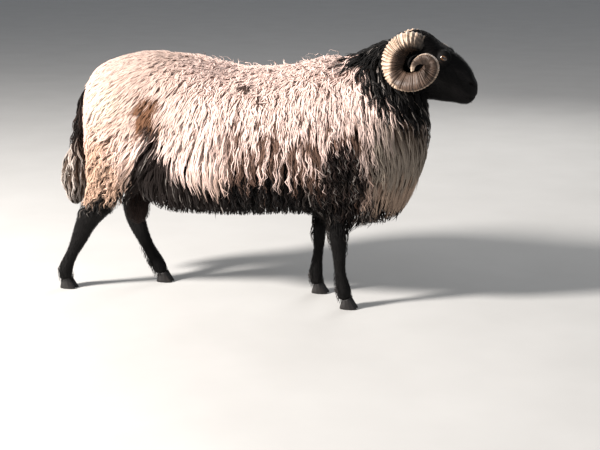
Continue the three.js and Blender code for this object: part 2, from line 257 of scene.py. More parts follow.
# %% [markdown]
# ## One skin
# The flesh solids are separate pieces with fine gaps. Copies of them, with their gaps filled, are joined by a
# voxel remesh into one closed form that reaches to the outside of the coat. Each point of the form then
# sinks by the depth of the coat there: a few millimetres on the face, four centimetres on the flank.

# %% Flesh solids
LEGS = ("foreleg_right", "foreleg_left", "hindleg_right", "hindleg_left")
FLESH = ["trunk", "neck", "head", "tail", "scrotum"]
for leg in LEGS:
    upper = "thigh" if leg.startswith("hind") else "forearm"
    FLESH += [f"{leg}_{length}" for length in (upper, "cannon", "pastern")]
KINDS = ("trunk", "neck", "head", "tail", "scrotum", "thigh", "forearm", "cannon", "pastern", "eye")
kind_of = {name: next(i for i, k in enumerate(KINDS) if name.startswith(k) or name.endswith(k)) for name in FLESH}
kind_of["eye_right"] = kind_of["eye_left"] = KINDS.index("head")


def copied(names, swell=0.0):
    """One bmesh of merged copies of these solids, each pushed out by swell."""
    bm = bmesh.new()
    for name in names:
        bm.from_mesh(nodes[name].data)
    bmesh.ops.remove_doubles(bm, verts=bm.verts, dist=1e-5)
    bm.normal_update()
    for v in bm.verts:
        v.co += v.normal * swell
    return bm


def finished(piece):
    """The piece with its modifiers made part of its mesh."""
    shape = bpy.data.meshes.new_from_object(piece.evaluated_get(bpy.context.evaluated_depsgraph_get()))
    piece.modifiers.clear()
    old = piece.data
    piece.data = shape
    bpy.data.meshes.remove(old)
    return piece


def remeshed(bm, name, voxel, smoothing):
    mesh = bpy.data.meshes.new(name)
    bm.to_mesh(mesh)
    bm.free()
    piece = add_object(name, mesh)
    remesh = piece.modifiers.new("remesh", "REMESH")
    remesh.mode = "VOXEL"
    remesh.voxel_size = voxel
    if smoothing:
        smooth = piece.modifiers.new("smooth", "SMOOTH")
        smooth.factor = 0.5
        smooth.iterations = smoothing
    return finished(piece)


def points_of(mesh):
    flat = np.empty(len(mesh.vertices) * 3)
    mesh.vertices.foreach_get("co", flat)
    return flat.reshape(-1, 3)


def normals_of(mesh):
    flat = np.empty(len(mesh.vertices) * 3)
    mesh.vertex_normals.foreach_get("vector", flat)
    return flat.reshape(-1, 3)


def tree_of(bm):
    bm.normal_update()
    return BVHTree.FromBMesh(bm)


VOXEL = 0.0080
skin = remeshed(copied([*FLESH, "eye_right", "eye_left"], 0.0004), "skin", VOXEL, 6)
print(f"joined form: {len(skin.data.polygons)} faces")

# %% Which solid each point of the form belongs to
corner_points, corner_kinds, triangles = [], [], []
for name in (*FLESH, "eye_right", "eye_left"):
    mesh = nodes[name].data
    start = len(corner_points)
    corner_points += [v.co.copy() for v in mesh.vertices]
    triangles += [[start + i for i in p.vertices] for p in mesh.polygons]
    corner_kinds += [kind_of[name]] * len(mesh.polygons)
solids_tree = BVHTree.FromPolygons(corner_points, triangles)
corner_kinds = np.array(corner_kinds)


def nearest(tree, places):
    """For each place: the nearest point of the tree's surface, its normal, its face and the distance."""
    hits = [tree.find_nearest(Vector(p)) for p in places]
    return (
        np.array([h[0] for h in hits]),
        np.array([h[1] for h in hits]),
        np.array([h[2] for h in hits]),
        np.array([h[3] for h in hits]),
    )


def kinds_at(places):
    return corner_kinds[nearest(solids_tree, places)[2]]


# %% Finer faces on the head, drawn to the head's own surface
EYES = [np.array([0.607 + SHIFT, side * 0.053, 0.803]) for side in (-1, 1)]


def refine_head(piece, chosen, cuts):
    bm = bmesh.new()
    bm.from_mesh(piece.data)
    bm.verts.ensure_lookup_table()
    centres = np.array([f.calc_center_median() for f in bm.faces])
    ahead = chosen(centres) & (kinds_at(centres) == KINDS.index("head"))
    edges = {e for f, pick in zip(bm.faces, ahead) if pick for e in f.edges}
    bmesh.ops.subdivide_edges(bm, edges=list(edges), cuts=cuts, use_grid_fill=True)
    bmesh.ops.triangulate(bm, faces=[f for f in bm.faces if len(f.verts) > 4])
    bm.to_mesh(piece.data)
    bm.free()


def near_eyes(places, reach):
    return np.min([np.linalg.norm(places - eye, axis=1) for eye in EYES], axis=0) < reach


refine_head(skin, lambda places: places[:, 0] > 0.470 + SHIFT, 2)
refine_head(skin, lambda places: (places[:, 0] > 0.640) | near_eyes(places, 0.028), 1)
refine_head(skin, lambda places: near_eyes(places, 0.020), 1)
head_form = remeshed(copied(["head", "eye_right", "eye_left"], 0.0003), "head_form", 0.0024, 8)
head_tree = BVHTree.FromObject(head_form, bpy.context.evaluated_depsgraph_get())
form_points = points_of(skin.data)
form_kinds = kinds_at(form_points)
print(f"with a finer head: {len(form_points)} points, {int((form_kinds == 2).sum())} on the head")


# %% Smooth values over a mesh
def edges_of(mesh):
    flat = np.empty(len(mesh.edges) * 2, dtype=np.int64)
    mesh.edges.foreach_get("vertices", flat)
    return flat.reshape(-1, 2)


def spread_out(values, edges, rounds):
    """Averages each value with its neighbours', this many times."""
    count = len(values)
    share = np.bincount(edges.ravel(), minlength=count).clip(1)
    columns = values.reshape(count, -1).copy()
    for _ in range(rounds):
        for c in range(columns.shape[1]):
            total = np.bincount(edges[:, 0], weights=columns[edges[:, 1], c], minlength=count)
            total += np.bincount(edges[:, 1], weights=columns[edges[:, 0], c], minlength=count)
            columns[:, c] = 0.4 * columns[:, c] + 0.6 * total / share
    return columns.reshape(values.shape)


def smoothstep(low, high, value):
    t = np.clip((value - low) / (high - low), 0.0, 1.0)
    return t * t * (3 - 2 * t)


# %% Coat depth at each point of the form, in metres
DEPTH = dict(
    trunk=0.038, neck=0.032, head=0.0025, tail=0.016, scrotum=0.006, thigh=0.026, forearm=0.010, cannon=0.0020,
    pastern=0.0010, eye=0.0,
)
skin_edges = edges_of(skin.data)
form_normals = spread_out(normals_of(skin.data), skin_edges, 3)
form_normals /= np.linalg.norm(form_normals, axis=1, keepdims=True)
depth = np.array([DEPTH[k] for k in KINDS])[form_kinds]
woolly = form_kinds <= 1
depth[woolly] -= 0.019 * smoothstep(0.30, 0.80, form_normals[woolly, 2])
rear = smoothstep(-0.24, -0.34, form_points[:, 0]) * smoothstep(0.52, 0.62, form_points[:, 2])
depth[woolly] -= 0.009 * rear[woolly]
depth[woolly] += 0.008 * smoothstep(0.2, 0.8, -form_normals[woolly, 2])
body_depth = spread_out(depth, skin_edges, 12)
is_head = form_kinds == KINDS.index("head")
depth = np.where(is_head, np.minimum(body_depth, 0.006), body_depth)
depth = spread_out(depth, skin_edges, 2)

on_head = nearest(head_tree, form_points[is_head])
drawn = form_points.copy()
drawn[is_head] = on_head[0]
skin_points = drawn - form_normals * depth[:, None]
hoof_end = form_kinds == KINDS.index("pastern")
skin_points[hoof_end, 2] -= 0.009 * smoothstep(0.060, 0.040, skin_points[hoof_end, 2])
skin.data.vertices.foreach_set("co", skin_points.ravel())
skin.data.update()
print(f"coat depth from {depth.min() * 1000:.1f} to {depth.max() * 1000:.1f} mm")

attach(skin, "root")
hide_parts(*FLESH)
skin.data.materials.append(SKIN)
bpy.data.objects.remove(head_form)

# %% [markdown]
# ## Lids, nostrils and mouth
# The head solids have no folds. Here the points around each eye are drawn onto two lids that lie just outside
# the eyeball, the opening sinks behind it, and soft grooves are pressed in for the nostrils and the mouth.

# %% Eyes: where they sit and which way they face
EYE_RADIUS = 0.015


def unit(v):
    v = np.asarray(v, dtype=float)
    return v / np.linalg.norm(v)


def eye_axes(side):
    """The eye's centre, its outward axis, the axis of its slit and its upward axis."""
    centre = EYES[side > 0]
    out = unit([0.26, side * 0.95, 0.10])
    slit = np.array([0.92, 0.0, -0.38])
    slit = unit(slit - out * (slit @ out))
    return centre, out, slit, np.cross(slit, out) * -side


def press_lids(points, side):
    centre, out, slit, up = eye_axes(side)
    ray = points - centre
    far = np.linalg.norm(ray, axis=1)
    ray = ray / far[:, None].clip(1e-6)
    m = np.hypot(ray @ slit / 0.80, ray @ up / 0.46)
    lid = np.interp(m, [0.0, 0.88, 1.0, 1.22, 1.42, 1.62, 1.9], [0.80, 0.80, 1.08, 1.13, 1.06, 1.12, 1.10]) * EYE_RADIUS
    weight = (1 - smoothstep(1.55, 2.3, m)) * smoothstep(0.0, 0.3, ray @ out) * (far < 0.035)
    return centre + ray * (far + (lid - far) * weight)[:, None]


def from_line(points, line):
    """Distance from each point to a chain of points."""
    best = np.full(len(points), 9.0)
    for a, b in zip(line[:-1], line[1:]):
        a, b = np.array(a), np.array(b)
        t = np.clip((points - a) @ (b - a) / ((b - a) @ (b - a)), 0, 1)
        best = np.minimum(best, np.linalg.norm(points - (a + t[:, None] * (b - a)), axis=1))
    return best


def press_groove(points, normals, line, wide, deep):
    line = nearest(head_tree, line)[0]
    near = np.exp(-((from_line(points, line) / wide) ** 2))
    return points - normals * (deep * near)[:, None]


head_points = skin_points[is_head]
head_normals = form_normals[is_head]
for side in (-1, 1):
    head_points = press_lids(head_points, side)
    mouth = [(0.700, 0, 0.680), (0.690, side * 0.020, 0.679), (0.672, side * 0.035, 0.677), (0.650, side * 0.040, 0.680), (0.632, side * 0.041, 0.688)]
    nostril = [(0.702, side * 0.007, 0.704), (0.698, side * 0.015, 0.712), (0.688, side * 0.026, 0.722), (0.676, side * 0.034, 0.727)]
    wing = [(0.698, side * 0.010, 0.722), (0.690, side * 0.020, 0.732), (0.676, side * 0.030, 0.740)]
    lip = [(0.698, side * 0.004, 0.690), (0.684, side * 0.028, 0.690), (0.662, side * 0.038, 0.692)]
    crease = [(0.612, side * 0.056, 0.786), (0.630, side * 0.046, 0.764), (0.640, side * 0.040, 0.742)]
    jaw = [(0.560, side * 0.060, 0.730), (0.590, side * 0.054, 0.716), (0.620, side * 0.044, 0.712)]
    head_points = press_groove(head_points, head_normals, wing, 0.0070, -0.0016)
    head_points = press_groove(head_points, head_normals, lip, 0.0060, -0.0010)
    head_points = press_groove(head_points, head_normals, mouth, 0.0024, 0.0042)
    head_points = press_groove(head_points, head_normals, nostril, 0.0030, 0.0068)
    head_points = press_groove(head_points, head_normals, crease, 0.0060, 0.0016)
    head_points = press_groove(head_points, head_normals, jaw, 0.0110, 0.0022)
head_points = press_groove(head_points, head_normals, [(0.706, 0, 0.712), (0.704, 0, 0.684)], 0.0018, 0.0022)
skin_points[is_head] = head_points
skin.data.vertices.foreach_set("co", skin_points.ravel())
skin.data.update()
print(f"pressed {int(is_head.sum())} points of the head")

# %% Ears, joined to the skin
bm = bmesh.new()
bm.from_mesh(skin.data)
ear_start = len(bm.verts)
for name, side in (("ear_right", -1), ("ear_left", 1)):
    ear = remeshed(copied([name], 0.0002), name + "_form", 0.0023, 3)
    bm.from_mesh(ear.data)
    bpy.data.objects.remove(ear)
    bm.verts.ensure_lookup_table()
for v in bm.verts[ear_start:]:
    root = 1.0 - smoothstep(0.058, 0.072, abs(v.co.y))
    v.co.y -= math.copysign(0.008 * root, v.co.y)
bm.to_mesh(skin.data)
bm.free()
skin.data.shade_smooth()
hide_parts(*FLESH, "ear_right", "ear_left")
print(f"skin with ears: {len(skin.data.vertices)} points")

# %% [markdown]
# ## What the coat needs to know
# Each face of the skin gets a normal, a coat depth and a lie, the direction in which the wool runs there:
# down the sides, back and down over the thighs, sideways off the parted back, back along the face.

# %% Fields on the skin
KINDS = (*KINDS, "ear")
EAR_KIND = KINDS.index("ear")
point_count = len(skin.data.vertices)
skin_points = points_of(skin.data)
skin_edges = edges_of(skin.data)
point_kinds = np.full(point_count, EAR_KIND)
point_kinds[:ear_start] = form_kinds
point_depth = np.full(point_count, 0.0015)
point_depth[:ear_start] = depth
point_normals = spread_out(normals_of(skin.data), skin_edges, 2)
point_normals /= np.linalg.norm(point_normals, axis=1, keepdims=True).clip(1e-9)

skin.data.calc_loop_triangles()
tri_points = np.empty(len(skin.data.loop_triangles) * 3, dtype=np.int64)
skin.data.loop_triangles.foreach_get("vertices", tri_points)
tri_points = tri_points.reshape(-1, 3)
corners = skin_points[tri_points]
tri_area = np.linalg.norm(np.cross(corners[:, 1] - corners[:, 0], corners[:, 2] - corners[:, 0]), axis=1) / 2
skin_tree = BVHTree.FromPolygons([Vector(p) for p in skin_points], tri_points.tolist())
tri_normals = point_normals[tri_points].mean(axis=1)
tri_normals /= np.linalg.norm(tri_normals, axis=1, keepdims=True)
tri_depth = point_depth[tri_points].mean(axis=1)
tri_kinds = point_kinds[tri_points[:, 0]]
print(f"skin area {tri_area.sum():.2f} square metres")


# %% The lie of the coat
def lie_of(places, normals, kinds):
    x, y, z = places.T
    side = np.sign(y)
    up = normals[:, 2]
    lean = np.radians(np.interp(x, [-0.50, -0.36, -0.25, -0.08, 0.15, 0.36, 0.46, 0.54], [44, 38, 24, 10, 2, -4, -14, -20]))
    lower_rear = smoothstep(-0.30, -0.22, x) * smoothstep(-0.04, -0.12, x) * smoothstep(0.50, 0.40, z)
    lean = lean * (1 - lower_rear) + np.radians(-14) * lower_rear
    brisket = smoothstep(0.34, 0.44, x) * smoothstep(0.50, 0.38, z)
    lean = lean * (1 - brisket) + np.radians(22) * brisket
    flow = np.stack([-np.sin(lean), np.zeros(len(x)), -np.cos(lean)], axis=1)
    top = smoothstep(0.45, 0.9, up)[:, None]
    flow = flow * (1 - top) + np.stack([-0.75 + 0 * x, side * 0.65, -0.2 + 0 * x], axis=1) * top
    limbs = np.isin(kinds, [KINDS.index(k) for k in ("cannon", "pastern", "forearm", "tail", "scrotum")])
    flow[limbs] = (0.0, 0.0, -1.0)
    thigh = kinds == KINDS.index("thigh")
    flow[thigh] = np.stack([-0.62 + 0 * x, 0 * x, -0.78 + 0 * x], axis=1)[thigh]
    head = kinds == KINDS.index("head")
    flow[head] = np.stack([-0.90 + 0 * x, side * 0.05, -0.30 - 0.4 * (z < 0.70)], axis=1)[head]
    ear = kinds == EAR_KIND
    flow[ear] = np.stack([-0.12 + 0 * x, side, 0 * x], axis=1)[ear]
    flow -= normals * (flow * normals).sum(axis=1)[:, None]
    return flow


point_flow = spread_out(lie_of(skin_points, point_normals, point_kinds), skin_edges, 8)
tri_flow = point_flow[tri_points].mean(axis=1)
tri_flow -= tri_normals * (tri_flow * tri_normals).sum(axis=1)[:, None]
tri_flow /= np.linalg.norm(tri_flow, axis=1, keepdims=True).clip(1e-6)

# %% [markdown]
# ## Markings
# The fleece is creamy white, with a black head and collar, black legs, a dark patch low on each shoulder, a
# rusty stain on the flank and a dark tail with grey ends. One function gives the colour at any place, so the
# skin and the locks that grow from it always agree. It also paints a highlight on the back of the rump and shade
# on the chest and the underside.

# %% Soft random values that vary over space
WAVES = np.random.default_rng(7)


def ripple_maker(size, seed):
    """A smooth value around 0, up to about 1, that changes over this many metres."""
    rng = np.random.default_rng(seed)
    ways = rng.normal(size=(7, 3))
    ways *= (rng.uniform(0.6, 1.6, 7) * 2 * math.pi / size / np.linalg.norm(ways, axis=1))[:, None]
    starts = rng.uniform(0, 2 * math.pi, 7)
    return lambda places: np.sin(places @ ways.T + starts).sum(axis=1) / 3.0


broad = ripple_maker(0.22, 11)
middle = ripple_maker(0.07, 12)
small = ripple_maker(0.025, 13)

# %% Colours of the coat (linear light)
CREAM = np.array([0.93, 0.715, 0.65])
HAUNCH = np.array([0.67, 0.50, 0.435])
# Painted highlight: the paler colour of the lit back of the rump.
RUMP_HIGHLIGHT = np.array([0.76, 0.625, 0.52])
# Grey-beige wool of the chest, made darker as painted shade.
GREIGE_SHADED = np.array([0.245, 0.215, 0.17])
TAWNY = np.array([0.60, 0.395, 0.28])
RUST = np.array([0.20, 0.098, 0.055])
PEAT = np.array([0.028, 0.017, 0.014])
BLACK = np.array([0.0055, 0.0048, 0.0048])
SILVER = np.array([0.60, 0.54, 0.50])


# Below this line the coat is painted near black: dark wool of the flank fold, the groin and the belly, and painted
# shade on the underside.
UNDER_LINE = (
    [-0.46, -0.388, -0.300, -0.256, -0.200, -0.130, -0.085, -0.055, 0.0, 0.1, 0.2, 0.26, 0.31],
    [0.30, 0.432, 0.515, 0.432, 0.398, 0.366, 0.345, 0.372, 0.392, 0.400, 0.392, 0.36, 0.32],
)


def collar_x(z):
    return np.interp(z, [0.600, 0.630, 0.670, 0.735, 0.782, 0.86], [0.520, 0.450, 0.396, 0.344, 0.285, 0.262])


def colours_at(places, kinds, own=0.0, tips=None):
    """Colour of the coat at each place. own is each lock's own leaning, for ragged edges of the markings."""
    x, y, z = places.T
    tip_x, _, tip_z = (places if tips is None else tips).T
    wander = 0.4 * broad(places) + 0.6 * middle(places) + own

    def blend(colour, target, weight):
        return colour + (target - colour) * np.clip(weight, 0, 1)[:, None]

    tint = np.repeat(CREAM[None], len(x), axis=0)
    tint = blend(tint, HAUNCH, smoothstep(-0.10, -0.34, x + 0.03 * wander) * smoothstep(0.50, 0.60, z))
    # Painted highlight: a paler, lit patch on the back of the rump.
    tint = blend(tint, RUMP_HIGHLIGHT, smoothstep(1.3, 0.7, np.hypot((x + 0.480) / 0.070, (z - 0.650) / 0.050) + 0.15 * wander))
    tint = blend(tint, TAWNY, 0.9 * smoothstep(-0.34, -0.43, x) * smoothstep(0.62, 0.42, z + 0.05 * wander))
    # The chest wool is grey-beige, darkened further as painted shade.
    tint = blend(tint, GREIGE_SHADED, 0.9 * smoothstep(0.33, 0.43, x + 0.03 * wander) * smoothstep(0.68, 0.54, z))
    tint = blend(tint, TAWNY * 0.9, 0.5 * smoothstep(0.46, 0.38, z + 0.03 * wander) * smoothstep(-0.3, -0.2, x))
    stain = np.hypot((x + 0.306) / 0.042, (z - 0.592) / 0.072) + 0.25 * wander + 0.30 * own
    tint = blend(tint, RUST, smoothstep(1.25, 0.75, stain))
    tint = blend(tint, PEAT * 2, smoothstep(1.1, 0.6, np.hypot((x + 0.298) / 0.030, (z - 0.558) / 0.040) + 0.3 * wander))
    # Dark wool and painted shade: below the line the coat turns near black.
    under = np.interp(tip_x, *UNDER_LINE)
    under_dark_and_shade = smoothstep(0.010, -0.010, tip_z - under + 0.010 * broad(places) + 0.016 * own)
    tint = blend(tint, PEAT * 0.4, under_dark_and_shade * (kinds != KINDS.index("tail")))
    patch = np.hypot((x - 0.306) / 0.066, (z - 0.425) / 0.118) + 0.22 * wander
    tint = blend(tint, PEAT * 1.3, smoothstep(1.1, 0.9, patch))
    smudge = np.minimum(
        np.hypot((x + 0.002) / 0.024, (z - 0.706) / 0.011), np.hypot((x - 0.042) / 0.010, (z - 0.668) / 0.018)
    )
    tint = blend(tint, PEAT * 3, smoothstep(1.3, 0.8, smudge) * (y < 0))
    ragged = 0.022 + 0.07 * smoothstep(0.40, 0.45, x) * smoothstep(0.70, 0.66, z)
    black = smoothstep(-0.012, 0.012, x - collar_x(z) + 0.022 * wander + ragged * own) * (z > 0.54)
    tint = blend(tint, BLACK, black)
    tail = kinds == KINDS.index("tail")
    ends = smoothstep(0.47, 0.42, z + 0.05 * wander) * (0.35 + 0.65 * smoothstep(0.27, 0.34, z))
    tint[tail] = blend(np.repeat(PEAT[None], len(x), axis=0), SILVER, ends)[tail]
    dark = np.isin(kinds, [KINDS.index(k) for k in ("head", "ear", "cannon", "pastern", "forearm")])
    tint[dark] = BLACK
    tint[kinds == KINDS.index("scrotum")] = PEAT
    leg = (kinds == KINDS.index("thigh")) & (z < 0.34)
    tint = np.where(leg[:, None], blend(tint, BLACK, smoothstep(0.34, 0.31, z + 0.02 * wander)), tint)
    return tint


def paint(mesh, colours):
    layer = mesh.color_attributes.new("tint", "FLOAT_COLOR", "POINT")
    layer.data.foreach_set("color", np.concatenate([colours, np.ones((len(colours), 1))], axis=1).ravel())


def shaded_root_colours(colours, places):
    """Painted shade deep in the coat: brown between the long locks, nearly as light as the tips on the rump."""
    x, y, z = places.T
    light = np.maximum(smoothstep(0.56, 0.70, z), smoothstep(-0.24, -0.36, x) * smoothstep(0.50, 0.62, z))
    light = np.maximum(light, 0.75 * smoothstep(0.03, -0.10, x) * smoothstep(0.42, 0.52, z))
    dark = np.array([0.30, 0.20, 0.15]) + np.array([-0.14, -0.10, -0.08]) * smoothstep(0.56, 0.44, z)[:, None]
    deep = dark + (np.array([0.88, 0.80, 0.75]) - dark) * light[:, None]
    return colours * np.where(colours.mean(axis=1, keepdims=True) > 0.08, deep, 0.6)


# Painted shade: the skin under the wool takes the shaded colour of the coat's roots.
shaded_skin_tint = shaded_root_colours(colours_at(skin_points, point_kinds), skin_points)
bright = shaded_skin_tint.mean(axis=1) > 0.05
paint(skin.data, shaded_skin_tint)
print(f"{int(bright.sum())} points under white wool, {int((~bright).sum())} under black")

# %% [markdown]
# ## Eyes
# A sheep's eye is amber with a level slit of a pupil. Each ball carries a map that runs straight across the
# opening of its lids, and the iris and the slit are drawn on that map.

# %% Eyeballs
eye_material, tree, shader = new_material("eye")
eye_map = tree.nodes.new("ShaderNodeUVMap")
eye_map.uv_map = "iris"
parts = tree.nodes.new("ShaderNodeSeparateXYZ")
tree.links.new(eye_map.outputs["UV"], parts.inputs[0])
radius = maths(tree, "SQRT", maths(tree, "ADD", maths(tree, "POWER", parts.outputs[0], 2.0), maths(tree, "POWER", parts.outputs[1], 2.0)))
# Amber-brown iris, darkened as painted shade, with a dark rim round it.
rings = ramp(tree, radius, [(0.30, (0.105, 0.048, 0.014)), (0.62, (0.060, 0.025, 0.008)), (0.70, (0.012, 0.006, 0.004)), (0.80, (0.045, 0.030, 0.024))])
spoke = ramp(tree, noise(tree, eye_map.outputs["UV"], 14.0, 4.0), [(0.3, (0.55, 0.5, 0.45)), (0.7, (1.3, 1.2, 1.1))])
iris = mix(tree, 1.0, rings, spoke, "MULTIPLY")
slit_u = maths(tree, "POWER", maths(tree, "DIVIDE", parts.outputs[0], 0.42), 4.0)
slit_v = maths(tree, "POWER", maths(tree, "DIVIDE", parts.outputs[1], 0.17), 4.0)
pupil = maths(tree, "LESS_THAN", maths(tree, "ADD", slit_u, slit_v), 1.0)
tree.links.new(mix(tree, pupil, iris, (0.004, 0.004, 0.006, 1.0)), shader.inputs["Base Color"])
shader.inputs["Roughness"].default_value = 0.12
shader.inputs["Coat Weight"].default_value = 1.0
shader.inputs["Coat Roughness"].default_value = 0.03

for label, side in (("right", -1), ("left", 1)):
    centre, out, slit, up = eye_axes(side)
    bm = bmesh.new()
    bmesh.ops.create_uvsphere(bm, u_segments=48, v_segments=32, radius=EYE_RADIUS)
    layer = bm.loops.layers.uv.new("iris")
    axes = Matrix((slit, up, out)).transposed()
    for face in bm.faces:
        face.smooth = True
        for loop in face.loops:
            loop[layer].uv = (loop.vert.co.x / EYE_RADIUS, loop.vert.co.y / EYE_RADIUS)
    for v in bm.verts:
        v.co.z *= 1.0 + 0.05 * max(0.0, v.co.z / EYE_RADIUS) ** 6
    bmesh.ops.transform(bm, matrix=Matrix.Translation(centre) @ axes.to_4x4(), verts=bm.verts)
    bmesh.ops.recalc_face_normals(bm, faces=bm.faces)
    mesh = bpy.data.meshes.new(f"eyeball_{label}")
    bm.to_mesh(mesh)
    bm.free()
    ball = add_object(f"eyeball_{label}", mesh)
    mesh.materials.append(eye_material)
    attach(ball, "root")
    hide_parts(f"eye_{label}")
print("two eyeballs")

# %% [markdown]
# ## Horns
# A ram's horn is a three-cornered coil that opens outwards, crossed by a ridge for each spell of growth. It is
# one circle extruded ring by ring along the coil, and each ring is swelled or pinched by the ridge there.

# %% Horn coil
HORN = dict(
    centre_x=[0.518, 0.518, 0.518, 0.518, 0.540, 0.568, 0.568, 0.568, 0.568],
    outer=[0.074, 0.090, 0.091, 0.091, 0.074, 0.041, 0.038, 0.036, 0.041],
    half=[0.028, 0.032, 0.033, 0.029, 0.0265, 0.0205, 0.0175, 0.013, 0.005],
    spread=[0.030, 0.068, 0.098, 0.120, 0.138, 0.153, 0.166, 0.178, 0.186],
)
HORN_RINGS = 330
HORN_SIDES = 30


def along(table, t):
    """A smooth curve through equally spaced values."""
    steps = len(table) - 1
    at = np.clip(t, 0, 1) * steps
    i = np.minimum(at.astype(int), steps - 1)
    f = at - i
    v = np.array(table)
    p0, p1, p2, p3 = v[np.maximum(i - 1, 0)], v[i], v[i + 1], v[np.minimum(i + 2, steps)]
    m1, m2 = (p2 - p0) / 2, (p3 - p1) / 2
    return (
        (2 * f**3 - 3 * f**2 + 1) * p1 + (f**3 - 2 * f**2 + f) * m1 + (3 * f**2 - 2 * f**3) * p2 + (f**3 - f**2) * m2
    )


def horn_rings(side):
    t = np.linspace(0, 1, HORN_RINGS)
    angle = np.radians(50 + 515 * t)
    half = along(HORN["half"], t)
    out = np.stack([np.cos(angle), 0 * t, np.sin(angle)], axis=1)
    centre = np.stack([along(HORN["centre_x"], t) + SHIFT, side * along(HORN["spread"], t), 0 * t + 0.792], axis=1)
    centre += out * (along(HORN["outer"], t) - half)[:, None]
    edge = centre + out * half[:, None]
    run = np.concatenate([[0], np.cumsum(np.linalg.norm(np.diff(edge, axis=0), axis=1))])
    beat = run / np.interp(t, [0, 0.4, 1], [0.0145, 0.0120, 0.0085]) + 0.30 * np.sin(run * 41) + 0.15 * np.sin(run * 97 + 1)
    ridge = (0.5 + 0.5 * np.cos(2 * math.pi * beat)) ** 0.9
    swell = 0.5 + 0.5 * np.sin(2 * math.pi * run / 0.0043 + 2.0 * np.sin(run * 120))
    fade = np.interp(t, [0, 0.05, 0.75, 0.95], [0.6, 1, 1, 0.15])
    turn = np.linspace(0, 2 * math.pi, HORN_SIDES, endpoint=False)[None]
    twist = np.radians(np.interp(t, [0, 0.26, 0.42, 1], [34, 28, 4, 0]))[:, None]
    edge_at = np.interp(t, [0.30, 0.42], [0.44, 0.80])[:, None]
    band = smoothstep(edge_at - 0.07, edge_at + 0.07, np.cos(turn - twist))
    keel = 0.45 + 0.55 * band
    reach = half[:, None] * (1 - 0.13 * np.cos(3 * (turn - twist)))
    knobs = 0.5 + 0.5 * np.sin(3.2 * (turn - twist) + 1.5 * np.sin(run * 57)[:, None])
    lift = ((0.125 * (ridge - 0.5) + 0.028 * (swell - 0.5)) * fade)[:, None] * (0.7 + 0.6 * knobs * band)
    reach = reach * (1 + lift * keel)
    places = centre[:, None] + out[:, None] * (reach * np.cos(turn))[:, :, None]
    places[:, :, 1] += side * reach * 0.86 * np.sin(turn)
    return places, ridge, swell, t, band


# Horn colours: cream on the outer band, brown on the side darkened further as painted shade, and a dark brown painted
# as shade in the grooves.
KEEL_CREAM = np.array([0.84, 0.67, 0.54])
GROOVE_SHADE = np.array([0.032, 0.018, 0.012])
SIDE_BROWN_SHADED = np.array([0.120, 0.078, 0.056])


def horn_mesh(side):
    places, ridge, swell, t, band = horn_rings(side)
    bm = bmesh.new()
    tint = bm.verts.layers.float_color.new("tint")
    ring_verts = bmesh.ops.create_circle(bm, cap_ends=True, segments=HORN_SIDES, radius=0.02)["verts"]
    cap = next(iter(bm.faces))
    for r in range(HORN_RINGS):
        if r:
            grown = bmesh.ops.extrude_face_region(bm, geom=[cap])["geom"]
            cap = next(g for g in grown if isinstance(g, bmesh.types.BMFace))
            twin = {v.co.copy().freeze(): v for v in cap.verts}
            ring_verts = [twin[v.co.copy().freeze()] for v in ring_verts]
        for v, place, keel in zip(ring_verts, places[r], band[r]):
            v.co = place
            # Painted light and shade: the side darkens to brown, the grooves go dark, and the ridges and the lit outer
            # band stay lighter.
            colour = SIDE_BROWN_SHADED + (KEEL_CREAM - SIDE_BROWN_SHADED) * keel
            ridge_height = 0.75 * ridge[r] + 0.25 * swell[r]
            colour = GROOVE_SHADE + (colour - GROOVE_SHADE) * (0.25 + 0.55 * ridge_height + 0.20 * keel)
            colour = colour + (KEEL_CREAM - colour) * float(smoothstep(0.93, 0.99, t[r])) * 0.8
            # Both horns turn darker towards their roots, with a wavering edge.
            root_wobble = 0.5 + 0.5 * math.sin(place[1] * 260) * math.sin(place[0] * 190 + place[2] * 230)
            colour = colour * float(np.interp(t[r] - 0.05 * root_wobble, [0, 0.03, 0.07], [0.07, 0.16, 1.0]))
            # Painted shade: the far, left horn is darkened over part of its coil.
            if side > 0:
                colour = colour * float(np.interp(t[r], [0.54, 0.62, 0.78, 0.86], [1.0, 0.3, 0.3, 1.0]))
            v[tint] = (*colour, 1.0)
    for face in bm.faces:
        face.smooth = True
    bmesh.ops.recalc_face_normals(bm, faces=bm.faces)
    return bm


horn_material, tree, shader = new_material("horn")
place = tree.nodes.new("ShaderNodeTexCoord").outputs["Object"]
colour = tree.nodes.new("ShaderNodeAttribute")
colour.attribute_name = "tint"
fine = noise(tree, place, 420.0, 4.0)
blotch = noise(tree, place, 55.0, 4.0)
shade = ramp(tree, blotch, [(0.30, (0.62, 0.56, 0.50)), (0.62, (1.12, 1.08, 1.04))])
pores = ramp(tree, fine, [(0.30, (0.70, 0.64, 0.58)), (0.55, (1.05, 1.04, 1.03))])
tinted = mix(tree, 1.0, colour.outputs["Color"], shade, "MULTIPLY")
tree.links.new(mix(tree, 0.8, tinted, pores, "MULTIPLY"), shader.inputs["Base Color"])
shader.inputs["Roughness"].default_value = 0.52
bump(tree, shader, fine, 0.5, 0.0010)

for label, side in (("right", -1), ("left", 1)):
    bm = horn_mesh(side)
    mesh = bpy.data.meshes.new(f"horn_coil_{label}")
    bm.to_mesh(mesh)
    bm.free()
    coil = add_object(f"horn_coil_{label}", mesh)
    mesh.materials.append(horn_material)
    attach(coil, "root")
    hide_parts(f"horn_{label}")
    print(f"horn {label}: {len(mesh.polygons)} faces")

# %% [markdown]
# ## Hooves
# Each hoof is two black claws and, higher up behind, two small dewclaws. Every claw is remeshed on its own, so
# the cleft between two claws stays open, and its sole is pressed flat again on the floor.

